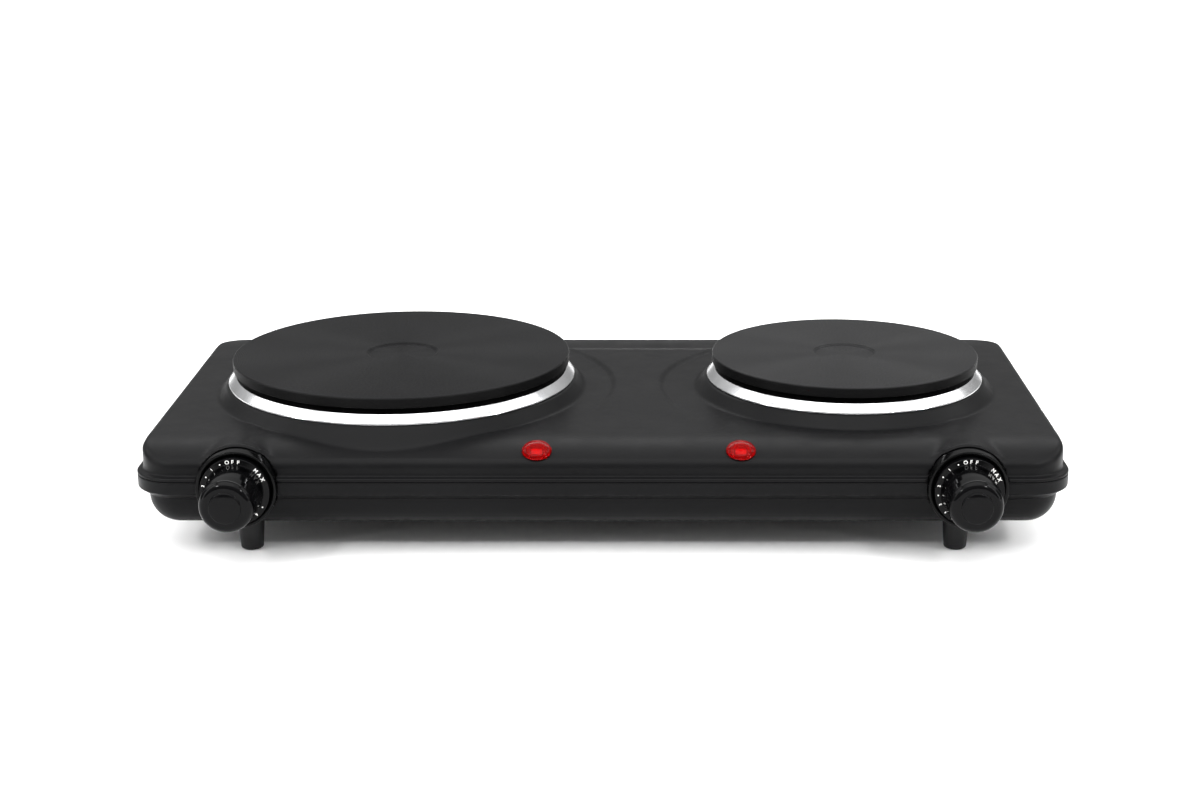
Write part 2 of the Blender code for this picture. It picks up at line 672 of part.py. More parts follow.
def foot(name, x, y):
    top = PAN_LOW_Z - GAP
    bore = SCREW_RADIUS + GAP
    pad_seat = PAD_RADIUS + GAP
    foot_profile = [
        (bore, top), (FOOT_RADIUS, top), (FOOT_LOW_RADIUS + 0.0004, 0.0012),
        (FOOT_LOW_RADIUS - 0.0004, 0.0005), (pad_seat, 0.0005), (pad_seat, 0.0033), (bore, 0.0033)]
    pad_profile = [(0.0, 0.0030), (PAD_RADIUS, 0.0030), (PAD_RADIUS, 0.0), (0.0, 0.0)]
    screw_profile = [
        (0.0, FLOOR_Z + GAP + 0.0022), (HEAD_RADIUS * 0.7, FLOOR_Z + GAP + 0.0022),
        (HEAD_RADIUS, FLOOR_Z + GAP + 0.0008), (HEAD_RADIUS, FLOOR_Z + GAP),
        (SCREW_RADIUS, FLOOR_Z + GAP), (SCREW_RADIUS, 0.0073), (0.0, 0.0073)]
    pieces = (
        (turned(name + "_foot", foot_profile, steps=12), SATIN_BLACK),
        (turned(name + "_foot_pad", pad_profile, steps=12), RUBBER),
        (turned(name + "_foot_screw", screw_profile, steps=8), STEEL))
    for obj, finish in pieces:
        obj.location = (x, y, 0.0)
        part(obj, finish)


def cover_post(side, x, y):
    top = DECK_Z - SHEET - GAP
    low = FLOOR_Z + GAP
    bore = SCREW_RADIUS + GAP
    head_top = PAN_LOW_Z - GAP
    post_profile = [(0.0, top), (0.004, top), (0.004, low), (bore, low), (bore, 0.0345), (0.0, 0.0345)]
    screw_profile = [
        (0.0, 0.0335), (SCREW_RADIUS, 0.0335), (SCREW_RADIUS, head_top), (HEAD_RADIUS, head_top),
        (HEAD_RADIUS, head_top - 0.0010), (HEAD_RADIUS * 0.6, head_top - 0.0022), (0.0, head_top - 0.0022)]
    pieces = (
        (turned(side + "_cover_post", post_profile, steps=12), STEEL),
        (turned(side + "_cover_screw", screw_profile, steps=8), STEEL))
    for obj, finish in pieces:
        obj.location = (x, y, 0.0)
        part(obj, finish)


# ---------------------------------------------------------------- mains side and wiring

def cord_gland():
    back = -GLAND_WALL
    inner = back + SHEET + GAP
    profile = [
        (GLAND_BORE, inner + 0.0030), (GLAND_FLANGE, inner + 0.0030), (GLAND_FLANGE, inner),
        (GLAND_NECK, inner), (GLAND_NECK, back - GAP), (GLAND_FLANGE, back - GAP),
        (GLAND_FLANGE - 0.0004, back - 0.0028), (GLAND_BORE, back - 0.0028)]
    part(face_front(turned("cord_gland", profile, steps=20), GLAND_X, GLAND_Z), SATIN_BLACK)


def mains_terminal_block():
    low = (GLAND_X - 0.017, 0.0898, FLOOR_Z + GAP)
    block = box("mains_terminal_block", low, (GLAND_X + 0.017, 0.1058, 0.0340))
    slot = box("mains_slot", (GLAND_X - 0.020, 0.0963, 0.0310), (GLAND_X + 0.020, 0.0993, 0.0370))
    cut(block, cutter(slot))
    part(block, CERAMIC)


def earth_screw():
    low = FLOOR_Z + GAP
    profile = [
        (0.0, low + 0.0080), (0.0036, low + 0.0080), (0.0036, low + 0.0056), (SCREW_RADIUS, low + 0.0056),
        (SCREW_RADIUS, low), (0.0, low)]
    screw = turned("earth_screw", profile, steps=12)
    screw.location = (GLAND_X + 0.034, 0.0998, 0.0)
    part(screw, EARTH_BRASS)


def smooth_route(points, steps=3):
    """Points along a smooth curve through the route's own points."""
    route = [Vector(point) for point in points]
    padded = [2 * route[0] - route[1], *route, 2 * route[-1] - route[-2]]
    result = []
    for before, start, end, after in zip(padded, padded[1:], padded[2:], padded[3:]):
        for step in range(steps):
            t = step / steps
            bend = 2 * before - 5 * start + 4 * end - after
            twist = 3 * start - before - 3 * end + after
            result.append((2 * start + (end - before) * t + bend * t ** 2 + twist * t ** 3) / 2)
    result.append(route[-1])
    return result


def wire(name, points):
    curve = bpy.data.curves.new(name, "CURVE")
    curve.dimensions = "3D"
    curve.bevel_depth = WIRE_RADIUS
    curve.bevel_resolution = 1
    curve.use_fill_caps = True
    route = smooth_route(points)
    spline = curve.splines.new("POLY")
    spline.points.add(len(route) - 1)
    for point, place in zip(spline.points, route):
        point.co = (*place, 1.0)
    part(bpy.data.objects.new(name, curve), WIRE_SLEEVE)


def wiring():
    back = -THERMOSTAT_BACK + WIRE_GAP
    block_front = 0.0898 - WIRE_GAP
    for burner, side in zip(BURNERS, (-1, 1)):
        x = side * KNOB_X
        terminals_y = PLATE_Y + TERMINALS_OFFSET
        wire(burner["name"] + "_plate_wire", [
            (burner["x"], terminals_y, TERMINALS_LOW_Z - GAP), (burner["x"], terminals_y, 0.051),
            (burner["x"], terminals_y - 0.003, 0.0445),
            (burner["x"] + side * 0.005, terminals_y - 0.014, 0.042),
            ((burner["x"] + x) / 2, 0.005, 0.042), (x + side * 0.004, back + 0.018, 0.042),
            (x + side * 0.004, back, 0.042)])
    for name, side in (("left", -1), ("right", 1)):
        x = side * KNOB_X
        wire(name + "_supply_wire", [
            (x - side * 0.006, back, 0.034), (x - side * 0.006, back + 0.014, 0.034),
            (side * 0.1000, 0.020, 0.033), (GLAND_X + side * 0.020, 0.070, 0.028),
            (GLAND_X + side * 0.010, block_front, 0.027)])


def build():
    bezel_holes = []
    for side in (-1, 1):
        hole = cylinders("bezel_hole", BEZEL_RADIUS + GAP, BEZEL_HOLE_BACK, KNOB_FACE, sides=24)
        bezel_holes.append(cutter(face_front(hole, side * KNOB_X, KNOB_Z)))
    top_cover(bezel_holes)
    base_pan(bezel_holes)
    for burner in BURNERS:
        for piece in (cast_plate, trim_ring, heating_element, element_cover, clamp_bar, clamp_stud,
                      clamp_nut, heat_shield, terminal_block):
            piece(burner)
    for side, x in (("left", -KNOB_X), ("right", KNOB_X)):
        for piece in (bezel, knob, thermostat_shaft, thermostat_bracket, thermostat):
            piece(side, x)
    for side, x in LAMPS:
        lamp(side, x)
    for name, x, y in foot_spots():
        foot(name, x, y)
    for side, x, y in post_spots():
        cover_post(side, x, y)
    cord_gland()
    mains_terminal_block()
    earth_screw()
    wiring()


build()
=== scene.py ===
"""Looks of the double hot plate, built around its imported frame.

Metres, in the frame's own axes: +Z up, the knobs face -Y, the feet stand on Z = 0.
"""
import json
from math import atan, cos, hypot, pi, radians, sin, tan

import bmesh
import bpy
import numpy as np
from mathutils import Matrix, Vector


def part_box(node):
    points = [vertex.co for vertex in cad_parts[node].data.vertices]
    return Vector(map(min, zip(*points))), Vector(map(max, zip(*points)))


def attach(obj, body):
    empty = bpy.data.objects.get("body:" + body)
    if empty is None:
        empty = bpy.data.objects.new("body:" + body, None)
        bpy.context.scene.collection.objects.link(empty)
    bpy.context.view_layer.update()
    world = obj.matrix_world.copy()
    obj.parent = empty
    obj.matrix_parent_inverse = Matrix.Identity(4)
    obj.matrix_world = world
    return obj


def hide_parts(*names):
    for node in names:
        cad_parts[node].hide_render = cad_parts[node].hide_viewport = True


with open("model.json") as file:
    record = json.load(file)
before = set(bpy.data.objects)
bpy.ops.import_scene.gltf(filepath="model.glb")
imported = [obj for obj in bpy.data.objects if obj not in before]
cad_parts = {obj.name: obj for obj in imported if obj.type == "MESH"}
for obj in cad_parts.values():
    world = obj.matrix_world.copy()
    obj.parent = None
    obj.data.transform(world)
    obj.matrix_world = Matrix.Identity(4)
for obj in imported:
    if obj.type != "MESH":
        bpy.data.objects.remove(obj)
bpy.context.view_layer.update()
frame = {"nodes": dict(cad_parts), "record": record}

# ---------------------------------------------------------------- sizes read from the frame

PAN_LOW, PAN_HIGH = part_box("base_pan")
COVER_LOW, COVER_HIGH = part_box("top_cover")
KNOB_LOW, KNOB_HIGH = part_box("right_knob")
BEZEL_LOW, BEZEL_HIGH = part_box("right_bezel")
GLAND_LOW, GLAND_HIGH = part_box("cord_gland")
HALF_WIDTH = PAN_HIGH.x                       # to the flange
HALF_DEPTH = (PAN_HIGH.y - PAN_LOW.y) / 2
BODY_Y = (PAN_HIGH.y + PAN_LOW.y) / 2
SEAM_Z = COVER_LOW.z
COLLAR_TOP_Z = COVER_HIGH.z
PAN_LOW_Z = PAN_LOW.z
KNOB_X = (KNOB_LOW.x + KNOB_HIGH.x) / 2
KNOB_Z = (KNOB_LOW.z + KNOB_HIGH.z) / 2
KNOB_FACE = -KNOB_LOW.y                       # depths run forward from Y = 0
SKIRT_BACK = -KNOB_HIGH.y
SKIRT_RADIUS = (KNOB_HIGH.x - KNOB_LOW.x) / 2
BEZEL_RADIUS = (BEZEL_HIGH.x - BEZEL_LOW.x) / 2
BEZEL_FRONT = -BEZEL_LOW.y
BEZEL_BACK = -BEZEL_HIGH.y


def box_centre(node):
    low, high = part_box(node)
    return (low + high) / 2


def burner(name, recess, collar, bridge):
    """Sizes of one burner: its plate's box, and its neighbours' reach beyond the plate."""
    low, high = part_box(name + "_plate")
    ring_low, ring_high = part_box(name + "_trim_ring")
    return dict(name=name, x=(low.x + high.x) / 2, y=(low.y + high.y) / 2,
                radius=(high.x - low.x) / 2, low=low.z, top=high.z, recess=recess, collar=collar,
                bridge=bridge, ring_radius=(ring_high.x - ring_low.x) / 2, ring_low=ring_low.z,
                ring_top=ring_high.z)


BURNERS = (
    burner("large", recess=0.0186, collar=0.0090, bridge=0.0245),
    burner("small", recess=0.0163, collar=0.0099, bridge=0.0282),
)

# ---------------------------------------------------------------- sizes shared with the CAD source

CORNER = 0.022
WALL_INSET = 0.0033
DECK_Z = 0.060
APRON_RUN = 0.0280
APRON_CURVE = 9.5
BACK_CURVE = 2.3
APRON_START = HALF_DEPTH - WALL_INSET - APRON_RUN
APRON_EDGE = 0.006
SHOULDER = 0.0035
COLLAR_TOP_OUT = 0.0033
OPENING_IN = 0.0085
BRIDGE_RISE = 0.0018
BRIDGE_Y = (-0.0432, 0.0068, 0.0878, 0.0998)
HUMP_RADIUS = 0.0220
HUMP_BACK_RADIUS = 0.0188
HUMP_FRONT = 0.0972
HUMP_BACK = 0.0582
BAND_LOW_Z = 0.0366
TUB_TOP_Z = 0.0331
TUB_INSET = 0.0055
TUB_RADIUS = 0.0150
LAMP_RUN = 0.0200
LENS_RADIUS = 0.0076
BARREL_RADIUS = 0.0060
BEZEL_WELL = 0.0183
BEZEL_HOLE = BEZEL_RADIUS + 0.0003
SKIRT_FRONT = 0.1058
SHAFT_BORE = 0.0033
SHAFT_TIP = 0.1268
GRIP_RADIUS = 0.0136
SCALLOPS = 7

# Sizes of the looks only
CORNER_STEPS = 14
SHEET_SHOWN = 0.0010
BRIDGE_SOFT = 0.0022        # half width of the step along a crescent
COLLAR_TOP_SOFT = 0.0009    # fillets where a collar's cone meets its flat top and the deck
COLLAR_FOOT_SOFT = 0.0013
HUMP_SOFT = 0.0035
HUMP_EDGE = 0.0022          # the cover's edge radius over a hump
FLARE_TOP_Z = 0.0474        # where the cover's wall starts to turn out to its lip
DIAL_RADIUS = 0.01585       # of the middle of the lettering
WORD_SIZE = 0.0028
DIGIT_SIZE = 0.0020
LETTER_STEP = 10.2          # degrees between the letters of a word
MARK_STEP = 36.0            # degrees between the numbers


# ---------------------------------------------------------------- mesh helpers

def new_piece(name, mesh, finish, smooth=True):
    piece = bpy.data.objects.new(name, mesh)
    bpy.context.scene.collection.objects.link(piece)
    mesh.polygons.foreach_set("use_smooth", [smooth] * len(mesh.polygons))
    mesh.materials.append(finish)
    return piece


def outward(bm):
    """Turns a closed mesh's faces outward."""
    bmesh.ops.recalc_face_normals(bm, faces=bm.faces)


def mesh_from(name, fill):
    mesh = bpy.data.meshes.new(name)
    bm = bmesh.new()
    fill(bm)
    bm.to_mesh(mesh)
    bm.free()
    return mesh


def grid_faces(bm, rows, cyclic=True):
    """Skins rows of points, each an array of the same length. Returns the rows' vertices."""
    skin = [[bm.verts.new(point) for point in row] for row in rows]
    count = len(skin[0])
    for lower, upper in zip(skin, skin[1:]):
        for index in range(count if cyclic else count - 1):
            after = (index + 1) % count
            bm.faces.new((lower[index], lower[after], upper[after], upper[index]))
    return skin


def rounded(points, closed=False, steps=5):
    """Points (across, up, fillet) as an outline whose corners are arcs of their fillet radius."""
    result = []
    count = len(points)
    for index, (across, up, fillet) in enumerate(points):
        corner = Vector((across, up))
        if fillet == 0 or (not closed and index in (0, count - 1)):
            result.append((across, up))
            continue
        before = Vector(points[index - 1][:2]) - corner
        after = Vector(points[(index + 1) % count][:2]) - corner
        half = before.angle(after) / 2
        reach = min(fillet / tan(half), before.length * 0.49, after.length * 0.49)
        start = corner + before.normalized() * reach
        end = corner + after.normalized() * reach
        weight = sin(half)
        for step in range(steps + 1):
            t = step / steps
            shares = ((1 - t) ** 2, 2 * t * (1 - t) * weight, t * t)
            point = (start * shares[0] + corner * shares[1] + end * shares[2]) / sum(shares)
            result.append((point.x, point.y))
    return result


def lathe(name, profile, steps, wave=None):
    """Turns a profile of (radius, height) about Z.

    It runs from the axis to the axis, or is a closed ring section. wave(radius, height, angle)
    may change a point's radius.
    """
    angles = [2 * pi * step / steps for step in range(steps)]

    def fill(bm):
        rows = []
        for radius, height in profile:
            if radius < 1e-7:
                rows.append([bm.verts.new((0.0, 0.0, height))])
                continue
            ring = []
            for angle in angles:
                reach = wave(radius, height, angle) if wave else radius
                ring.append(bm.verts.new((reach * sin(angle), reach * cos(angle), height)))
            rows.append(ring)
        if len(rows[0]) > 1:
            rows.append(rows[0])
        for lower, upper in zip(rows, rows[1:]):
            for index in range(steps):
                after = (index + 1) % steps
                corners = [lower[index % len(lower)], lower[after % len(lower)],
                           upper[after % len(upper)], upper[index % len(upper)]]
                bm.faces.new(list(dict.fromkeys(corners)))
        outward(bm)
    return mesh_from(name, fill)


def cutter(name, mesh, matrix=Matrix.Identity(4)):
    """A hidden shape that cuts others. Its flat faces keep the cut edges crisp."""
    shape = bpy.data.objects.new(name, mesh)
    bpy.context.scene.collection.objects.link(shape)
    shape.matrix_world = matrix
    shape.hide_render = True
    shape.hide_viewport = True
    return shape


def cylinders(name, spots, sides=48):
    """Capped cylinders as one mesh; each spot is (radius, length, matrix), centred on the matrix."""
    def fill(bm):
        for radius, length, matrix in spots:
            bmesh.ops.create_cone(bm, cap_ends=True, segments=sides, radius1=radius, radius2=radius,
                                  depth=length, matrix=matrix)
    return mesh_from(name, fill)


def boolean(piece, other, operation="DIFFERENCE", solver="MANIFOLD"):
    modifier = piece.modifiers.new(other.name, "BOOLEAN")
    modifier.operation = operation
    modifier.solver = solver
    modifier.object = other


def facing_front(x, z, depth=0.0):
    """Stands a shape made along Z on the plane Y = -depth, with its heights running forward."""
    return Matrix.Translation((x, -depth, z)) @ Matrix.Rotation(pi / 2, 4, "X")


def smooth_step(value, start, end):
    t = np.clip((value - start) / (end - start), 0.0, 1.0)
    return t * t * (3 - 2 * t)


def smooth_max(a, b, blend):
    """The larger of two heights, with a fillet where they cross."""
    near = np.clip(blend - np.abs(a - b), 0.0, None) / blend
    return np.maximum(a, b) + near * near * blend / 4


# ---------------------------------------------------------------- finishes

def node_setup(name):
    finish = bpy.data.materials.new(name)
    finish.use_nodes = True
    tree = finish.node_tree
    return finish, tree, tree.nodes["Principled BSDF"]


def object_position(tree):
    return tree.nodes.new("ShaderNodeTexCoord").outputs["Object"]


def noise(tree, coordinates, scale, detail=4.0, roughness=0.55):
    texture = tree.nodes.new("ShaderNodeTexNoise")
    texture.inputs["Scale"].default_value = scale
    texture.inputs["Detail"].default_value = detail
    texture.inputs["Roughness"].default_value = roughness
    tree.links.new(coordinates, texture.inputs["Vector"])
    return texture.outputs["Fac"]


def spread(tree, value, low, high, start=0.3, end=0.7):
    """Maps a noise's middle range to low..high."""
    span = tree.nodes.new("ShaderNodeMapRange")
    span.inputs["From Min"].default_value = start
    span.inputs["From Max"].default_value = end
    span.inputs["To Min"].default_value = low
    span.inputs["To Max"].default_value = high
    tree.links.new(value, span.inputs["Value"])
    return span.outputs["Result"]


def colour_mix(tree, factor, first, second):
    mix = tree.nodes.new("ShaderNodeMix")
    mix.data_type = "RGBA"
    tree.links.new(factor, mix.inputs["Factor"])
    for socket, colour in (("A", first), ("B", second)):
        if isinstance(colour, bpy.types.NodeSocket):
            tree.links.new(colour, mix.inputs[socket])
        else:
            mix.inputs[socket].default_value = (*colour, 1.0)
    return mix.outputs["Result"]


def bump(tree, height, strength, distance, under=None):
    node = tree.nodes.new("ShaderNodeBump")
    node.inputs["Strength"].default_value = strength
    node.inputs["Distance"].default_value = distance
    tree.links.new(height, node.inputs["Height"])
    if under:
        tree.links.new(under, node.inputs["Normal"])
    return node.outputs["Normal"]


def surface(name, colour, roughness, metallic=0.0, specular=0.5, variation=0.12, patch=60.0,
            grain=1500.0, grain_depth=0.00003, spread_rough=0.05):
    """A moulded, painted or metal finish: drifting colour and gloss over a fine grain."""
    finish, tree, shader = node_setup(name)
    position = object_position(tree)
    broad = noise(tree, position, patch)
    fine = noise(tree, position, grain, detail=3.0)
    darker = [channel * (1 - variation) for channel in colour]
    lighter = [min(channel * (1 + variation), 1.0) for channel in colour]
    tree.links.new(colour_mix(tree, spread(tree, broad, 0.0, 1.0), darker, lighter),
                   shader.inputs["Base Color"])
    mottled = noise(tree, position, patch * 4, detail=6.0)
    tree.links.new(spread(tree, mottled, roughness - spread_rough, roughness + spread_rough),
                   shader.inputs["Roughness"])
    tree.links.new(bump(tree, fine, 0.6, grain_depth), shader.inputs["Normal"])
    shader.inputs["Metallic"].default_value = metallic
    shader.inputs["Specular IOR Level"].default_value = specular
    return finish


def turned_iron(name, dark, light, gloss):
    """Cast iron with a heat-proof black finish and fine turning grooves round the plate's centre; the lower
    band of its side is painted near black as shade.
    """
    finish, tree, shader = node_setup(name)
    groove_pitch = 0.00095
    position = object_position(tree)
    split = tree.nodes.new("ShaderNodeSeparateXYZ")
    tree.links.new(position, split.inputs[0])
    flat = tree.nodes.new("ShaderNodeCombineXYZ")
    tree.links.new(split.outputs["X"], flat.inputs["X"])
    tree.links.new(split.outputs["Y"], flat.inputs["Y"])
    length = tree.nodes.new("ShaderNodeVectorMath")
    length.operation = "LENGTH"
    tree.links.new(flat.outputs[0], length.inputs[0])
    turns = tree.nodes.new("ShaderNodeMath")
    turns.operation = "MULTIPLY"
    turns.inputs[1].default_value = 2 * pi / groove_pitch
    tree.links.new(length.outputs["Value"], turns.inputs[0])
    wave = tree.nodes.new("ShaderNodeMath")
    wave.operation = "SINE"
    tree.links.new(turns.outputs[0], wave.inputs[0])
    cast = noise(tree, position, 900.0, detail=6.0, roughness=0.65)
    patches = noise(tree, position, 28.0, detail=5.0)
    upright = tree.nodes.new("ShaderNodeSeparateXYZ")
    tree.links.new(tree.nodes.new("ShaderNodeNewGeometry").outputs["Normal"], upright.inputs[0])
    top = spread(tree, upright.outputs["Z"], 0.0, 1.0, 0.3, 0.8)
    shade = colour_mix(tree, spread(tree, patches, 0.0, 1.0), dark, light)
    # Painted shade: below about 6 mm under the top, in the undercut, the side's colour drops to near black
    # and its gloss drops too, as if in shadow.
    side = spread(tree, split.outputs["Z"], 0.0, 1.0, -0.0062, -0.0056)
    side_with_painted_shade = colour_mix(tree, side, (0.0003, 0.0003, 0.0003), (0.0026, 0.0026, 0.0027))
    tree.links.new(colour_mix(tree, top, side_with_painted_shade, shade), shader.inputs["Base Color"])
    side_gloss = spread(tree, side, 0.012, 0.06, 0.0, 1.0)
    level = tree.nodes.new("ShaderNodeMix")
    tree.links.new(top, level.inputs["Factor"])
    tree.links.new(side_gloss, level.inputs["A"])
    level.inputs["B"].default_value = gloss
    tree.links.new(level.outputs["Result"], shader.inputs["Specular IOR Level"])
    tree.links.new(spread(tree, cast, 0.44, 0.56), shader.inputs["Roughness"])
    rough = bump(tree, cast, 0.35, 0.00006)
    tree.links.new(bump(tree, wave.outputs[0], 0.55, 0.00005, under=rough), shader.inputs["Normal"])
    tangent = tree.nodes.new("ShaderNodeTangent")
    tangent.direction_type = "RADIAL"
    tangent.axis = "Z"
    tree.links.new(tangent.outputs[0], shader.inputs["Tangent"])
    shader.inputs["Anisotropic"].default_value = 0.88
    shader.inputs["Anisotropic Rotation"].default_value = 0.25
    return finish


def lens_plastic():
    """Clear red plastic, slightly cloudy, with soft moulding lines."""
    finish, tree, shader = node_setup("red_lens")
    position = object_position(tree)
    cloud = noise(tree, position, 500.0)
    reds = colour_mix(tree, spread(tree, cloud, 0.0, 1.0), (0.58, 0.001, 0.002), (0.70, 0.003, 0.003))
    tree.links.new(reds, shader.inputs["Base Color"])
    tree.links.new(spread(tree, cloud, 0.03, 0.07), shader.inputs["Roughness"])
    tree.links.new(bump(tree, noise(tree, position, 260.0), 0.15, 0.0001), shader.inputs["Normal"])
    shader.inputs["Transmission Weight"].default_value = 0.85
    shader.inputs["Specular IOR Level"].default_value = 0.14
    shader.inputs["IOR"].default_value = 1.16
    return finish


def brushed(name, colour, roughness):
    """Pressed sheet metal with a fine brushed grain along X."""
    finish, tree, shader = node_setup(name)
    position = object_position(tree)
    stretch = tree.nodes.new("ShaderNodeMapping")
    stretch.inputs["Scale"].default_value = (40.0, 1600.0, 1600.0)
    tree.links.new(position, stretch.inputs["Vector"])
    lines = noise(tree, stretch.outputs[0], 1.0, detail=5.0)
    patches = noise(tree, position, 45.0)
    darker = [channel * 0.85 for channel in colour]
    tree.links.new(colour_mix(tree, spread(tree, patches, 0.0, 1.0), darker, colour),
                   shader.inputs["Base Color"])
    tree.links.new(spread(tree, lines, roughness - 0.07, roughness + 0.09), shader.inputs["Roughness"])
    tree.links.new(bump(tree, lines, 0.2, 0.00004), shader.inputs["Normal"])
    shader.inputs["Metallic"].default_value = 1.0
    return finish


def braided_sleeve():
    """Woven glass sleeve of a heat-proof wire."""
    finish, tree, shader = node_setup("glass_sleeve")
    position = object_position(tree)
    weave = tree.nodes.new("ShaderNodeTexWave")
    weave.bands_direction = "DIAGONAL"
    weave.inputs["Scale"].default_value = 420.0
    weave.inputs["Distortion"].default_value = 2.0
    tree.links.new(position, weave.inputs["Vector"])
    tree.links.new(colour_mix(tree, weave.outputs["Fac"], (0.52, 0.47, 0.36), (0.74, 0.70, 0.60)),
                   shader.inputs["Base Color"])
    tree.links.new(spread(tree, weave.outputs["Fac"], 0.65, 0.85, 0.0, 1.0), shader.inputs["Roughness"])
    tree.links.new(bump(tree, weave.outputs["Fac"], 0.5, 0.0002), shader.inputs["Normal"])
    return finish


FINISHES = dict(
    painted_steel=surface("satin_black_paint", (0.0044, 0.0044, 0.0047), 0.38, specular=0.066,
                          variation=0.10, patch=18.0, grain=1300.0, grain_depth=0.00003),
    cast_iron=turned_iron("turned_cast_iron", (0.0028, 0.0028, 0.0031), (0.0044, 0.0044, 0.0048), 0.090),
    bright_trim=surface("bright_chrome", (0.72, 0.725, 0.735), 0.20, metallic=1.0, variation=0.05,
                        grain=420.0, grain_depth=0.000004, spread_rough=0.03),
    knob_gloss=surface("gloss_black_plastic", (0.0014, 0.0014, 0.0016), 0.08, specular=0.085,
                       grain=700.0, grain_depth=0.000006, spread_rough=0.02),
    bezel_satin=surface("satin_black_plastic", (0.0012, 0.0012, 0.0013), 0.13, specular=0.08,
                        grain=1200.0, grain_depth=0.00001, spread_rough=0.02),
    lens_red=lens_plastic(),
    lamp_glass=surface("lamp_reflector", (0.80, 0.26, 0.20), 0.25, specular=0.6, patch=400.0,
                       grain=2500.0),
    foot_plastic=surface("foot_black_plastic", (0.0060, 0.0060, 0.0063), 0.36, specular=0.20,
                         grain=1800.0, grain_depth=0.00004),
    pad_rubber=surface("pad_rubber", (0.020, 0.020, 0.020), 0.80, specular=0.25, grain=1400.0,
                       grain_depth=0.00010),
    ceramic=surface("ceramic", (0.74, 0.70, 0.61), 0.58, patch=220.0, grain=1200.0,
                    grain_depth=0.00008),
    shield_steel=brushed("bright_shield_steel", (0.64, 0.65, 0.66), 0.26),
    steel=brushed("zinc_steel", (0.56, 0.56, 0.57), 0.34),
    wire_sleeve=braided_sleeve(),
    brass=surface("brass", (0.72, 0.52, 0.22), 0.30, metallic=1.0, variation=0.08, patch=300.0),
)
SMALL_PLATE_IRON = turned_iron("turned_cast_iron_small", (0.0060, 0.0060, 0.0064),
                               (0.0085, 0.0085, 0.0090), 0.165)
LAMP_CUP = surface("lamp_cup", (0.010, 0.003, 0.003), 0.40, specular=0.2, patch=500.0, grain=2500.0)
DIAL_WHITE = surface("dial_print", (0.86, 0.86, 0.84), 0.55, specular=0.3, variation=0.04,
                     patch=900.0, grain=3000.0)


def dress_frame():
    """Gives every carried-over CAD solid the finish of its slot in the record."""
    slots = {part["node"]: part["material_slot"] for part in frame["record"]["subparts"]}
    for name, obj in frame["nodes"].items():
        obj.data.materials.clear()
        obj.data.materials.append(FINISHES[slots[name]])


def place(piece, slot, *nodes, body="body"):
    """Puts a finished piece in the frame: on its body, hiding the CAD solids it stands for. The slot is not
    used.
    """
    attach(piece, body)
    if nodes:
        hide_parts(*nodes)
    return piece


# ---------------------------------------------------------------- top cover

def cover_height(points):
    """Height of the cover's outer skin at points (x, y)."""
    x, y = points[:, 0], points[:, 1]
    front_run = np.clip(BODY_Y - APRON_START - y, 0.0, None)
    back_run = np.clip(y - BODY_Y - APRON_START, 0.0, None)
    height = DECK_Z - APRON_CURVE * front_run ** 2 - BACK_CURVE * back_run ** 2
    front, front_top, back_top, back = BRIDGE_Y
    rise = smooth_step(y, front, front_top) * (1 - smooth_step(y, back_top, back))
    rise = rise * (x > BURNERS[0]["x"]) * (x < BURNERS[1]["x"])
    distances = [np.hypot(x - hob["x"], y - hob["y"]) for hob in BURNERS]
    for hob, distance in zip(BURNERS, distances):
        arc = hob["radius"] + hob["bridge"]
        rise = rise * smooth_step(distance, arc - BRIDGE_SOFT, arc + BRIDGE_SOFT)
    height = height + BRIDGE_RISE * rise
    for hob, distance in zip(BURNERS, distances):
        top = hob["radius"] + COLLAR_TOP_OUT
        slope = (COLLAR_TOP_Z - DECK_Z) / (hob["collar"] - COLLAR_TOP_OUT)
        cone = COLLAR_TOP_Z - (distance - top) * slope
        cone = -smooth_max(-cone, np.full_like(cone, -COLLAR_TOP_Z), COLLAR_TOP_SOFT)
        height = smooth_max(height, cone, COLLAR_FOOT_SOFT)
    for side in (-1, 1):
        part_way = (-y - HUMP_BACK) / (HUMP_FRONT - HUMP_BACK)
        radius = HUMP_BACK_RADIUS + (HUMP_RADIUS - HUMP_BACK_RADIUS) * part_way
        room = radius ** 2 - (x - side * KNOB_X) ** 2
        hump = np.where(room > 0, KNOB_Z + np.sqrt(np.clip(room, 0.0, None)), 0.0)
        height = smooth_max(height, hump, HUMP_SOFT)
    return height


def wall_points(side, middle_x):
    """The cover's wall line round one half, from the front to the back of the middle line.

    Returns the points and their outward directions.
    """
    half_x = HALF_WIDTH - CORNER
    half_y = HALF_DEPTH - CORNER
    radius = CORNER - WALL_INSET
    points, outwards = [], []

    def run(start, end, spacing, direction):
        count = max(2, round(hypot(end[0] - start[0], end[1] - start[1]) / spacing))
        for step in range(count):
            t = step / count
            points.append((start[0] + (end[0] - start[0]) * t, start[1] + (end[1] - start[1]) * t))
            outwards.append(direction)

    def turn(centre, first):
        for step in range(CORNER_STEPS):
            angle = first + step / CORNER_STEPS * pi / 2
            direction = (side * cos(angle), sin(angle))
            points.append((centre[0] + radius * direction[0], centre[1] + radius * direction[1]))
            outwards.append(direction)

    front = BODY_Y - HALF_DEPTH + WALL_INSET
    back = BODY_Y + HALF_DEPTH - WALL_INSET
    across = side * (HALF_WIDTH - WALL_INSET)
    run((middle_x, front), (side * half_x, front), 0.0016, (0.0, -1.0))
    turn((side * half_x, BODY_Y - half_y), -pi / 2)
    run((across, BODY_Y - half_y), (across, BODY_Y + half_y), 0.0032, (side, 0.0))
    turn((side * half_x, BODY_Y + half_y), 0.0)
    run((side * half_x, back), (middle_x, back), 0.0030, (0.0, 1.0))
    points.append((middle_x, back))
    outwards.append((0.0, 1.0))
    return np.array(points), np.array(outwards)


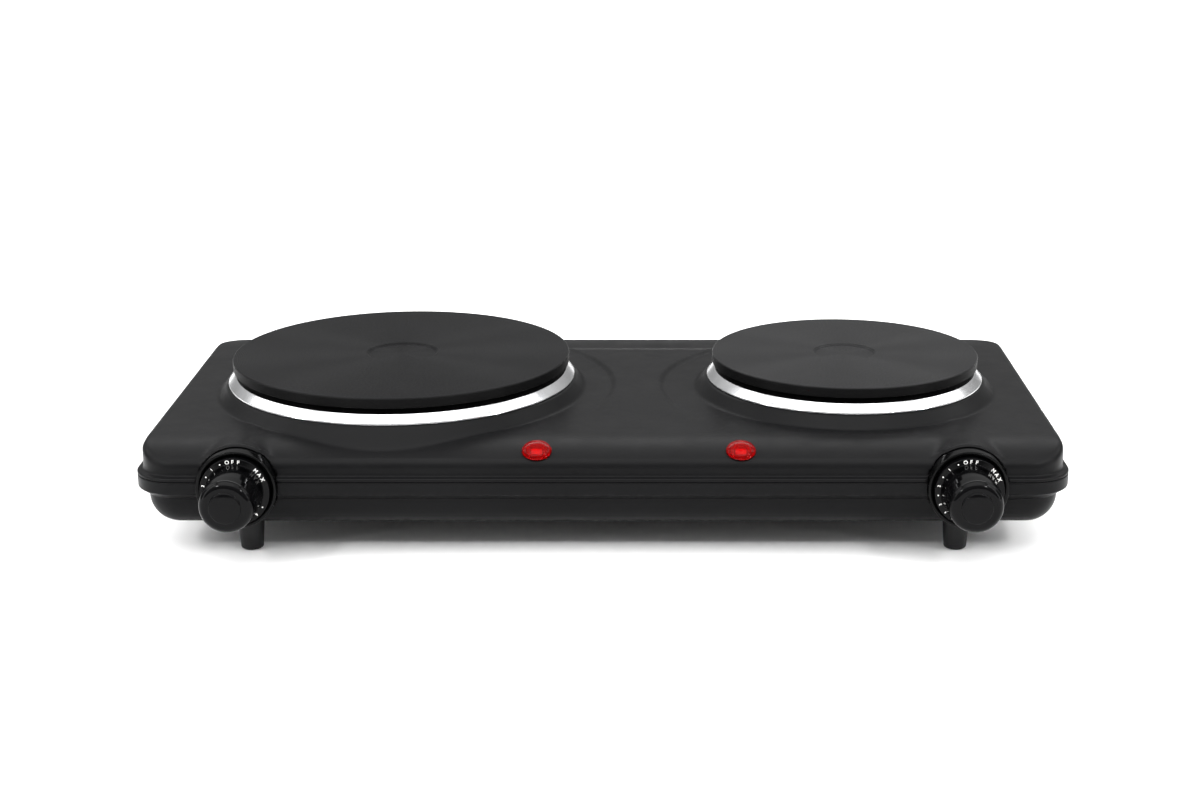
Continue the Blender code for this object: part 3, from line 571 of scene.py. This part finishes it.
def edge_arcs(points, outwards):
    """Where the deck starts to round over into the wall: (start points, bend angles, radii)."""
    slope = np.zeros(len(points))
    radius = np.full(len(points), APRON_EDGE)
    plain = SHOULDER + (APRON_EDGE - SHOULDER) * outwards[:, 1] ** 2
    step = 0.0002
    for _ in range(6):
        bend = np.arctan(slope)
        starts = points - outwards * (radius * (1 - np.sin(bend)))[:, None]
        fall = cover_height(starts - outwards * step) - cover_height(starts + outwards * step)
        slope = fall / (2 * step)
        run = np.clip(BODY_Y - APRON_START - starts[:, 1], 0.0, None)
        lift = cover_height(starts) - (DECK_Z - APRON_CURVE * run ** 2)
        on_hump = smooth_step(lift, 0.0010, 0.0060) * (outwards[:, 1] < -0.5)
        radius = plain + (HUMP_EDGE - plain) * on_hump
    return starts, np.arctan(slope), radius


def cover_half(bm, side, hob, middle_x):
    """One half of the cover: a fan from the burner's opening to the rounded edge, then the wall."""
    points, outwards = wall_points(side, middle_x)
    starts, bend, radius = edge_arcs(points, outwards)
    middle = np.linspace(starts[-1, 1], starts[0, 1], 100)[1:-1]
    ends = np.vstack([starts, np.column_stack([np.full(len(middle), middle_x), middle])])
    centre = np.array([hob["x"], hob["y"]])
    reach = np.hypot(*(ends - centre).T)
    direction = (ends - centre) / reach[:, None]

    edge = hob["radius"]
    arc = edge + hob["bridge"]
    base = np.full(len(ends), edge + hob["collar"] - 0.0025)
    fillet_end = np.minimum(base + 0.0075, base + 0.6 * (reach - base))
    aligned = smooth_step(reach, arc + BRIDGE_SOFT, arc + BRIDGE_SOFT + 0.006)
    spare = reach - fillet_end
    before_arc = fillet_end + spare / 3 + (arc - BRIDGE_SOFT - fillet_end - spare / 3) * aligned
    after_arc = fillet_end + spare * 2 / 3 + (arc + BRIDGE_SOFT - fillet_end - spare * 2 / 3) * aligned
    knots = [np.full(len(ends), edge - OPENING_IN), np.full(len(ends), edge + 0.0020),
             np.full(len(ends), edge + 0.0048), base, fillet_end, before_arc, after_arc, reach]
    steps = (3, 8, 5, 10, 5, 8, 12)
    rings = []
    for start, end, count in zip(knots, knots[1:], steps):
        rings += [start + (end - start) * step / count for step in range(count)]
    rings.append(reach)
    rows = []
    for ring in rings:
        flat = centre + direction * ring[:, None]
        if ring is reach:
            flat = ends
        rows.append(np.column_stack([flat, cover_height(flat)]))
    grid_faces(bm, rows, cyclic=True)

    start_z = cover_height(starts)
    centre_z = start_z - radius * np.cos(bend)
    rows = [np.column_stack([starts, start_z])]
    for step in range(1, 9):
        angle = bend + (pi / 2 - bend) * step / 8
        flat = points - outwards * (radius * (1 - np.sin(angle)))[:, None]
        rows.append(np.column_stack([flat, centre_z + radius * np.cos(angle)]))
    for step in (1, 2, 3):
        height = centre_z + (FLARE_TOP_Z - centre_z) * step / 3
        rows.append(np.column_stack([points, height]))
    lip = [(0.0, FLARE_TOP_Z, 0), (0.0, 0.0455, 0.0016), (WALL_INSET, 0.0448, 0.0009),
           (WALL_INSET, SEAM_Z, 0.0003), (WALL_INSET - 0.0006, SEAM_Z, 0)]
    for out, height in rounded(lip)[1:]:
        rows.append(np.column_stack([points + outwards * out, np.full(len(points), height)]))
    grid_faces(bm, rows, cyclic=False)


def lamp_place(side):
    """Place of a lamp on the front apron, with Z along the apron's normal."""
    tilt = Matrix.Rotation(atan(2 * APRON_CURVE * LAMP_RUN), 4, "X")
    x = box_centre(side + "_lamp_lens").x
    y = BODY_Y - APRON_START - LAMP_RUN
    return Matrix.Translation((x, y, DECK_Z - APRON_CURVE * LAMP_RUN ** 2)) @ tilt


BEZEL_HOLES = [(BEZEL_HOLE, 0.030, facing_front(side * KNOB_X, KNOB_Z, 0.1030)) for side in (-1, 1)]


def top_cover():
    left, right = BURNERS
    left_arc = left["x"] + left["radius"] + left["bridge"]
    right_arc = right["x"] - right["radius"] - right["bridge"]
    middle_x = (left_arc + right_arc) / 2

    def fill(bm):
        cover_half(bm, -1, left, middle_x)
        cover_half(bm, 1, right, middle_x)
        bmesh.ops.remove_doubles(bm, verts=bm.verts, dist=0.00001)
        outward(bm)
        bm.faces.ensure_lookup_table()
        deck_face = max(bm.faces, key=lambda face: abs(face.normal.z) * face.calc_area())
        if deck_face.normal.z < 0:
            bmesh.ops.reverse_faces(bm, faces=bm.faces)
    cover = new_piece("top_cover_shell", mesh_from("top_cover_shell", fill), FINISHES["painted_steel"])
    sheet = cover.modifiers.new("sheet", "SOLIDIFY")
    sheet.thickness = SHEET_SHOWN
    sheet.offset = -1.0
    lamp_holes = [(BARREL_RADIUS + 0.0006, 0.010, lamp_place(side)) for side in ("left", "right")]
    holes = cylinders("cover_holes", BEZEL_HOLES + lamp_holes, sides=64)
    boolean(cover, cutter("cover_holes", holes))
    return place(cover, "painted_steel", "top_cover")


# ---------------------------------------------------------------- base pan

def outline(inset, steps=CORNER_STEPS):
    """The body's rounded rectangle, moved inward from the flange."""
    radius = CORNER - inset
    points = []
    for quarter, (side_x, side_y) in enumerate(((1, 1), (-1, 1), (-1, -1), (1, -1))):
        middle_x = side_x * (HALF_WIDTH - CORNER)
        middle_y = BODY_Y + side_y * (HALF_DEPTH - CORNER)
        for step in range(steps + 1):
            angle = (quarter + step / steps) * pi / 2
            points.append((middle_x + radius * cos(angle), middle_y + radius * sin(angle)))
    return points


def foot_spots():
    for name in ("front_left", "front_right", "rear_left", "rear_right"):
        centre = box_centre(name + "_foot")
        yield name, centre.x, centre.y


def pan_cuts():
    """Vent slots in the pan's floor, round each burner."""
    slot_radius = 0.0020
    slot_run = 0.0320

    def fill(bm):
        for hob in BURNERS:
            for column in range(-3, 4):
                x = hob["x"] + column * 0.012
                ring = []
                for end, first in ((1, 0.0), (-1, pi)):
                    for step in range(9):
                        angle = first + step / 8 * pi
                        ring.append((x + slot_radius * cos(angle),
                                     hob["y"] + end * slot_run / 2 + slot_radius * sin(angle)))
                lower = [bm.verts.new((*point, PAN_LOW_Z - 0.004)) for point in ring]
                upper = [bm.verts.new((*point, PAN_LOW_Z + 0.004)) for point in ring]
                bm.faces.new(lower)
                bm.faces.new(upper)
                for index in range(len(ring)):
                    after = (index + 1) % len(ring)
                    bm.faces.new((lower[index], lower[after], upper[after], upper[index]))
        outward(bm)
    return mesh_from("vent_slots", fill)


def base_pan():
    bend = [(TUB_INSET + TUB_RADIUS * (1 - cos(step / 14 * pi / 2)),
             PAN_LOW_Z + TUB_RADIUS * (1 - sin(step / 14 * pi / 2))) for step in range(15)]
    rim_z = PAN_HIGH.z
    upper = [(0.0016, rim_z, 0), (0.0, rim_z, 0.0007), (0.0, BAND_LOW_Z, 0.0011),
             (TUB_INSET, TUB_TOP_Z - 0.0004, 0.0012), (TUB_INSET, bend[0][1], 0)]
    levels = rounded(upper)[:-1] + bend

    def fill(bm):
        rows = [[(x, y, height) for x, y in outline(inset)] for inset, height in levels]
        skin = grid_faces(bm, rows, cyclic=True)
        bm.faces.new(skin[-1])
        bmesh.ops.remove_doubles(bm, verts=bm.verts, dist=0.000001)
        outward(bm)
        floor = min(bm.faces, key=lambda face: face.calc_center_median().z)
        if floor.normal.z > 0:
            bmesh.ops.reverse_faces(bm, faces=bm.faces)
    pan = new_piece("base_pan_shell", mesh_from("base_pan_shell", fill), FINISHES["painted_steel"])
    sheet = pan.modifiers.new("sheet", "SOLIDIFY")
    sheet.thickness = 0.0012
    sheet.offset = -1.0
    gland_x = (GLAND_LOW.x + GLAND_HIGH.x) / 2
    gland_z = (GLAND_LOW.z + GLAND_HIGH.z) / 2
    wall = BODY_Y + HALF_DEPTH - TUB_INSET + 0.0010
    boss = lathe("gland_boss", rounded([(0.0, 0.0, 0), (0.0070, 0.0, 0.0006), (0.0070, 0.0120, 0),
                                        (0.0, 0.0120, 0)]), 48)
    inward = facing_front(gland_x, gland_z, -wall)
    boolean(pan, cutter("gland_boss", boss, inward), "UNION")
    holes = [(0.0058, 0.016, inward @ Matrix.Translation((0, 0, 0.0092))),
             (0.0046, 0.030, inward)]
    boolean(pan, cutter("gland_hollow", cylinders("gland_hollow", holes[:1])))
    screws = [(0.0024, 0.010, Matrix.Translation((x, y, PAN_LOW_Z))) for _, x, y in foot_spots()]
    for side in ("left", "right"):
        centre = box_centre(side + "_cover_screw")
        screws.append((0.0024, 0.010, Matrix.Translation((centre.x, centre.y, PAN_LOW_Z))))
    boolean(pan, cutter("pan_holes", cylinders("pan_holes", BEZEL_HOLES + holes[1:] + screws, sides=64)))
    boolean(pan, cutter("vent_slots", pan_cuts()))
    weighted = pan.modifiers.new("weighted", "WEIGHTED_NORMAL")
    weighted.weight = 80
    return place(pan, "painted_steel", "base_pan")


# ---------------------------------------------------------------- burners

def cast_plate(hob):
    edge, top, low, recess = hob["radius"], hob["top"], hob["low"], hob["recess"]
    profile = rounded([
        (0.0, top - 0.0012, 0), (recess - 0.0004, top - 0.0012, 0.0010), (recess + 0.0012, top, 0.0010),
        (edge, top, 0.0009), (edge - 0.0003, top - 0.0054, 0.0003), (edge - 0.0028, top - 0.0058, 0.0002),
        (edge - 0.0030, low, 0.0005), (edge - 0.0055, low, 0.0004), (edge - 0.0060, 0.0745, 0.0004),
        (0.0240, 0.0745, 0.0010), (0.0100, 0.0710, 0.0004), (SHAFT_BORE, 0.0710, 0.0002),
        (SHAFT_BORE, 0.0765, 0.0002), (0.0, 0.0765, 0)])
    lifted = [(radius, height - top) for radius, height in profile]
    name = hob["name"] + "_turned_plate"
    finish = SMALL_PLATE_IRON if hob["name"] == "small" else FINISHES["cast_iron"]
    plate = new_piece(name, lathe(name, lifted, 192), finish)
    plate.location = (hob["x"], hob["y"], top)
    return place(plate, "cast_iron", hob["name"] + "_plate")


def trim_ring(hob):
    edge, outer, low = hob["radius"], hob["ring_radius"], hob["ring_low"]
    top = hob["ring_top"]
    profile = rounded([
        (edge - 0.0080, top, 0.0002), (edge - 0.0012, top, 0.0012), (outer - 0.0002, 0.0674, 0.0005),
        (outer, low, 0.0002), (outer - 0.0014, low, 0.0002), (edge - 0.0018, top - 0.0010, 0.0006),
        (edge - 0.0080, top - 0.0010, 0.0002)], closed=True)
    name = hob["name"] + "_chrome_ring"
    ring = new_piece(name, lathe(name, profile, 192), FINISHES["bright_trim"])
    ring.location = (hob["x"], hob["y"], 0.0)
    return place(ring, "bright_trim", hob["name"] + "_trim_ring")


# ---------------------------------------------------------------- controls

def bezel(side, x):
    """A deep ring with a soft rim and a well for the knob's skirt."""
    floor = BEZEL_FRONT - 0.0028
    profile = rounded([
        (BEZEL_WELL, BEZEL_FRONT - 0.0002, 0.0004), (BEZEL_WELL + 0.0009, BEZEL_FRONT, 0.0004),
        (BEZEL_RADIUS, BEZEL_FRONT, 0.0010), (BEZEL_RADIUS, BEZEL_BACK, 0.0003),
        (BEZEL_WELL, BEZEL_BACK, 0.0003), (BEZEL_WELL, floor - 0.002, 0.0003),
        (SHAFT_BORE + 0.0003, floor - 0.002, 0.0003), (SHAFT_BORE + 0.0003, floor, 0.0003),
        (BEZEL_WELL, floor, 0.0005)], closed=True)
    name = side + "_bezel_ring"
    ring = new_piece(name, lathe(name, profile, 96), FINISHES["bezel_satin"])
    ring.matrix_world = facing_front(x, KNOB_Z)
    return place(ring, "bezel_satin", side + "_bezel")


def bezel_pip(side, x):
    """The moulded index mark at the top of a bezel's rim."""
    def fill(bm):
        bmesh.ops.create_cube(bm, size=1.0, matrix=Matrix.Diagonal((0.0009, 0.0016, 0.0006, 1.0)))
        bmesh.ops.bevel(bm, geom=list(bm.edges), offset=0.00025, segments=3, affect="EDGES")
    name = side + "_bezel_index"
    pip = new_piece(name, mesh_from(name, fill), FINISHES["bezel_satin"])
    pip.matrix_world = facing_front(x, KNOB_Z + BEZEL_RADIUS - 0.0011, BEZEL_FRONT - 0.0001)
    return place(pip, "bezel_satin")


SCOOP_LOW = 0.1071          # depth of the dimples' floors
SCOOP_HIGH = 0.1151
SCOOP_HOLLOW = 0.0031       # radius of a dimple
BUTTON_RADIUS = 0.0081      # of the raised middle of the knob's face
DISH_RADIUS = 0.0097        # where the face ends and the shoulder starts
SHOULDER_DEPTH = 0.0038
FLANK_FOOT = 0.0145         # the grip's radius where it meets the skirt


def scooped(radius, depth, angle):
    """Radius of the knob's grip where a ring of finger dimples cuts into its foot."""
    if not SCOOP_LOW - 1e-6 <= depth <= SCOOP_HIGH or radius < 0.011:
        return radius
    pitch = 2 * pi / SCALLOPS
    offset = (angle % pitch) - pitch / 2
    away = 0.0158 + 0.0034 * ((depth - SCOOP_LOW) / (SCOOP_HIGH - SCOOP_LOW)) ** 2.2
    room = SCOOP_HOLLOW ** 2 - (away * sin(offset)) ** 2
    if room <= 0:
        return radius
    return min(radius, away * cos(offset) - room ** 0.5)


def knob(side, x):
    """A knob with a raised button in its face, a soft shoulder, and a flank that widens to the skirt."""
    dish = KNOB_FACE - 0.0012
    profile = rounded([
        (0.0, KNOB_FACE, 0), (0.0060, KNOB_FACE - 0.0001, 0.0015), (0.0078, KNOB_FACE - 0.0004, 0.0006),
        (BUTTON_RADIUS, dish, 0.0005), (DISH_RADIUS, dish, 0)], steps=7)
    shoulder_end = dish - SHOULDER_DEPTH
    for step in range(1, 12):
        angle = pi / 2 * step / 12
        profile.append((DISH_RADIUS + (GRIP_RADIUS - DISH_RADIUS) * sin(angle),
                        shoulder_end + SHOULDER_DEPTH * cos(angle)))
    profile += rounded([
        (GRIP_RADIUS, shoulder_end, 0), (GRIP_RADIUS + 0.0003, KNOB_FACE - 0.0095, 0.0040),
        (0.0141, 0.1136, 0.0030), (0.0144, SCOOP_LOW + 0.0016, 0)], steps=7)[:-1]
    last_radius, last_depth = profile[-1]
    for step in range(1, 17):
        t = step / 16
        radius = last_radius + (FLANK_FOOT - last_radius) * t ** 1.3
        profile.append((radius, last_depth + (SCOOP_LOW - last_depth) * t))
    profile += rounded([
        (FLANK_FOOT, SCOOP_LOW - 0.00002, 0), (0.0147, SKIRT_FRONT + 0.0001, 0.0003),
        (SKIRT_RADIUS - 0.0002, SKIRT_FRONT - 0.0002, 0.0004), (SKIRT_RADIUS, SKIRT_BACK, 0.0003),
        (SHAFT_BORE, SKIRT_BACK, 0.0002), (SHAFT_BORE, SHAFT_TIP, 0.0002), (0.0, SHAFT_TIP, 0)])
    name = side + "_grip"
    grip = new_piece(name, lathe(name, profile, 252, wave=scooped), FINISHES["knob_gloss"])
    grip.data.set_sharp_from_angle(angle=radians(40))
    grip.matrix_world = facing_front(x, KNOB_Z)
    return place(grip, "knob_gloss", side + "_knob", body=side + "_control")


def dial_marks():
    """(text, degrees clockwise from the top) for OFF, MAX and the steps between them."""
    marks = [("OFF", 0.0), ("MAX", 55.0)]
    marks += [(str(level + 1), -42.0 - MARK_STEP * level) for level in range(6)]
    return marks


def letter_mesh(character, size, heavy):
    curve = bpy.data.curves.new("letter", "FONT")
    curve.body = character
    curve.align_x = "CENTER"
    curve.align_y = "CENTER"
    curve.size = size
    curve.extrude = 0.00003
    curve.resolution_u = 3
    curve.offset = heavy
    holder = bpy.data.objects.new("letter", curve)
    bpy.context.scene.collection.objects.link(holder)
    bpy.context.view_layer.update()
    shape = bpy.data.meshes.new_from_object(holder.evaluated_get(bpy.context.evaluated_depsgraph_get()))
    bpy.data.objects.remove(holder)
    bpy.data.curves.remove(curve)
    return shape


def dial_print(side, x):
    """White marks on the knob's skirt, turning with it."""
    bm = bmesh.new()

    def add(mesh, angle):
        turn = radians(angle)
        spot = (DIAL_RADIUS * sin(turn), DIAL_RADIUS * cos(turn), SKIRT_FRONT + 0.00003)
        matrix = Matrix.Translation(spot) @ Matrix.Rotation(-turn, 4, "Z")
        shown = mesh.copy()
        shown.transform(matrix)
        bm.from_mesh(shown)

    for text, middle in dial_marks():
        size = WORD_SIZE if len(text) > 1 else DIGIT_SIZE
        for index, character in enumerate(text):
            offset = index - (len(text) - 1) / 2
            add(letter_mesh(character, size, 0.00005), middle + offset * LETTER_STEP)
    dot = cylinders("dot", [(0.00038, 0.00006, Matrix.Identity(4))], sides=16)
    for step in range(7):
        add(dot, -24.0 - MARK_STEP * step)
    bmesh.ops.remove_doubles(bm, verts=bm.verts, dist=0.000001)
    name = side + "_dial_print"
    mesh = bpy.data.meshes.new(name)
    bm.to_mesh(mesh)
    bm.free()
    marks = new_piece(name, mesh, DIAL_WHITE, smooth=False)
    marks.matrix_world = facing_front(x, KNOB_Z)
    return place(marks, "knob_gloss", body=side + "_control")


# ---------------------------------------------------------------- lamps

def lamp(side):
    at = lamp_place(side)
    rim = LENS_RADIUS
    inner = BARREL_RADIUS - 0.001
    profile = rounded([
        (0.0, 0.0036, 0), (rim * 0.60, 0.0031, 0.0080), (rim * 0.90, 0.0020, 0.0026),
        (rim, 0.0006, 0.0006), (rim, 0.0003, 0.0002), (BARREL_RADIUS, 0.0003, 0.0002),
        (BARREL_RADIUS, -0.0110, 0.0003),
        (inner, -0.0110, 0.0003), (inner, 0.0006, 0.0005), (0.0, 0.0010, 0)])
    name = side + "_lamp_dome"
    lens = new_piece(name, lathe(name, profile, 64), FINISHES["lens_red"])
    lens.matrix_world = at
    place(lens, "lens_red", side + "_lamp_lens")

    def fill(bm):
        size = Matrix.Diagonal((0.0054, 0.0044, 0.0022, 1.0))
        bmesh.ops.create_cube(bm, size=1.0, matrix=Matrix.Translation((0, 0, -0.0015)) @ size)
        bmesh.ops.bevel(bm, geom=list(bm.edges), offset=0.0003, segments=3, affect="EDGES")
        bmesh.ops.create_cone(bm, cap_ends=True, segments=32, radius1=0.0046, radius2=0.0046,
                              depth=0.0060, matrix=Matrix.Translation((0, 0, -0.0062)))
    name = side + "_lamp_reflector"
    bulb = new_piece(name, mesh_from(name, fill), FINISHES["lamp_glass"], smooth=False)
    bulb.matrix_world = at
    place(bulb, "lamp_glass", side + "_lamp_bulb")
    half = 2 ** 0.5 / 2
    section = [(0.0030 / half, -0.0001), (0.0030 / half, -0.0026), (0.0024 / half, -0.0026),
               (0.0024 / half, -0.0001)]
    name = side + "_lamp_frame"
    frame_ring = new_piece(name, lathe(name, section, 4), LAMP_CUP, smooth=False)
    frame_ring.matrix_world = at @ Matrix.Diagonal((1.22, 1.0, 1.0, 1.0)) @ Matrix.Rotation(pi / 4, 4, "Z")
    place(frame_ring, "lamp_glass")


# ---------------------------------------------------------------- feet, gland and screws

def feet():
    for name, x, y in foot_spots():
        low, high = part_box(name + "_foot")
        pad_low, pad_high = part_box(name + "_foot_pad")
        top_radius = (high.x - low.x) / 2
        pad_radius = (pad_high.x - pad_low.x) / 2
        seat = pad_radius + 0.0003
        profile = rounded([
            (0.0023, high.z, 0.0002), (top_radius, high.z, 0.0005),
            (top_radius - 0.0002, high.z - 0.0018, 0.0004), (0.0060, 0.0034, 0.0030),
            (0.0058, 0.0014, 0.0002), (0.0055, low.z, 0.0007),
            (seat, low.z, 0.0002), (seat, 0.0033, 0.0002), (0.0023, 0.0033, 0.0002)], closed=True)
        foot = new_piece(name + "_moulded_foot", lathe(name + "_moulded_foot", profile, 64),
                         FINISHES["foot_plastic"])
        foot.location = (x, y, 0.0)
        place(foot, "foot_plastic", name + "_foot")
        pad_profile = rounded([(0.0, 0.0030, 0), (pad_radius, 0.0030, 0.0002), (pad_radius, 0.0, 0.0005),
                               (0.0026, 0.0, 0.0003), (0.0022, 0.0004, 0.0003), (0.0, 0.0004, 0)])
        pad = new_piece(name + "_rubber_pad", lathe(name + "_rubber_pad", pad_profile, 48),
                        FINISHES["pad_rubber"])
        pad.location = (x, y, 0.0)
        place(pad, "pad_rubber", name + "_foot_pad")


def gland():
    x = (GLAND_LOW.x + GLAND_HIGH.x) / 2
    z = (GLAND_LOW.z + GLAND_HIGH.z) / 2
    flange = (GLAND_HIGH.x - GLAND_LOW.x) / 2
    wall = BODY_Y + HALF_DEPTH - TUB_INSET + 0.0010
    profile = rounded([
        (0.0034, 0.0045, 0.0004), (flange, 0.0045, 0.0004), (flange, 0.0015, 0.0002),
        (0.0043, 0.0015, 0.0002), (0.0043, -0.0003, 0.0002), (flange, -0.0003, 0.0002),
        (flange - 0.0004, -0.0028, 0.0009),
        (0.0034, -0.0028, 0.0007)], closed=True)
    grommet = new_piece("cord_grommet", lathe("cord_grommet", profile, 64), FINISHES["bezel_satin"])
    grommet.matrix_world = facing_front(x, z, -wall)
    return place(grommet, "bezel_satin", "cord_gland")


def cover_screws():
    """Pan-head screws with a cross recess, in the pan's floor."""
    for side in ("left", "right"):
        low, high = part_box(side + "_cover_screw")
        centre = (low + high) / 2
        head = (high.x - low.x) / 2
        profile = rounded([
            (0.0, high.z, 0), (0.0020, high.z, 0.0003), (0.0020, low.z + 0.0022, 0.0002),
            (head, low.z + 0.0022, 0.0002), (head, low.z + 0.0010, 0.0012), (0.0024, low.z, 0.0014),
            (0.0, low.z, 0)])
        name = side + "_pan_screw"
        screw = new_piece(name, lathe(name, profile, 40), FINISHES["steel"])
        screw.location = (centre.x, centre.y, 0.0)

        def fill(bm):
            for size in ((0.0034, 0.0009, 0.0022, 1.0), (0.0009, 0.0034, 0.0022, 1.0)):
                bmesh.ops.create_cube(bm, size=1.0, matrix=Matrix.Diagonal(size))
        recess = cutter(name + "_recess", mesh_from(name + "_recess", fill),
                        Matrix.Translation((centre.x, centre.y, low.z)))
        boolean(screw, recess, solver="EXACT")
        screw.modifiers[recess.name].use_self = True
        place(screw, "steel", side + "_cover_screw")


# ---------------------------------------------------------------- studio

LIGHTS = (                  # name, place, aim, width, height, power; off the middle, one each side
    ("front_softbox", (0.0, -1.15, 2.2), (0.0, 0.0, 0.05), 4.4, 1.5, 40.0),
    ("top_softbox", (0.0, 0.05, 2.4), (0.0, 0.0, 0.05), 3.0, 1.0, 22.0),
    ("wing", (2.7, -0.7, 2.0), (0.0, 0.0, 0.05), 1.4, 1.5, 5.0),
    ("softbox", (1.7, 0.35, 1.35), (0.0, 0.0, 0.05), 1.1, 1.0, 9.0),
    ("back_softbox", (0.0, 3.2, 3.2), (0.0, 2.4, 0.0), 5.0, 1.2, 75.0),
    ("strip", (0.95, -0.45, 0.42), (0.18, -0.13, 0.04), 0.05, 0.9, 3.2),
    ("spot", (0.85, -1.00, 0.95), (0.10, -0.05, 0.05), 0.13, 0.13, 5.5),
)


def area_light(name, spot, aim, width, height, power):
    light = bpy.data.lights.new(name, "AREA")
    light.shape = "RECTANGLE"
    light.size = width
    light.size_y = height
    light.energy = power
    lamp_object = bpy.data.objects.new(name, light)
    bpy.context.scene.collection.objects.link(lamp_object)
    lamp_object.location = spot
    lamp_object.rotation_euler = (Vector(aim) - Vector(spot)).to_track_quat("-Z", "Y").to_euler()


def studio():
    world = bpy.data.worlds.new("studio")
    bpy.context.scene.world = world
    world.use_nodes = True
    tree = world.node_tree
    background = tree.nodes["Background"]
    upward = tree.nodes.new("ShaderNodeSeparateXYZ")
    tree.links.new(tree.nodes.new("ShaderNodeTexCoord").outputs["Generated"], upward.inputs[0])
    tree.links.new(spread(tree, upward.outputs["Z"], 0.36, 0.90, 0.15, 0.75), background.inputs["Color"])
    sun = bpy.data.lights.new("broad_key", "SUN")
    sun.energy = 0.80
    sun.angle = radians(50)
    key = bpy.data.objects.new("broad_key", sun)
    bpy.context.scene.collection.objects.link(key)
    key.rotation_euler = (radians(18), radians(-3), 0.0)
    for name, spot, aim, width, height, power in LIGHTS:
        if spot[0] == 0:
            area_light(name, spot, aim, width, height, power)
            continue
        for side, sign in (("left", -1), ("right", 1)):
            area_light(side + "_" + name, (sign * spot[0], *spot[1:]), (sign * aim[0], *aim[1:]),
                       width, height, power)

    def fill(bm):
        bmesh.ops.create_grid(bm, x_segments=4, y_segments=4, size=12.0)
    floor = bpy.data.objects.new("floor", mesh_from("floor", fill))
    bpy.context.scene.collection.objects.link(floor)
    floor.data.materials.append(surface("pale_floor", (0.95, 0.95, 0.95), 0.75, specular=0.1, variation=0.006,
                                        patch=1.0, grain=30.0, grain_depth=0.00001))


def camera():
    lens = bpy.data.cameras.new("camera")
    lens.lens = 60.4
    lens.sensor_width = 36.0
    lens.shift_x = -0.03567
    holder = bpy.data.objects.new("camera", lens)
    bpy.context.scene.collection.objects.link(holder)
    holder.location = (0.0204, -1.05935, 0.37275)
    holder.rotation_euler = (radians(73.41), 0.0, 0.0)
    bpy.context.scene.camera = holder


# ---------------------------------------------------------------- all together

camera()
studio()
bpy.context.scene.view_settings.view_transform = "Standard"
dress_frame()
top_cover()
base_pan()
for hob in BURNERS:
    cast_plate(hob)
    trim_ring(hob)
for side, x in (("left", -KNOB_X), ("right", KNOB_X)):
    bezel(side, x)
    bezel_pip(side, x)
    knob(side, x)
    dial_print(side, x)
    lamp(side)
feet()
gland()
cover_screws()
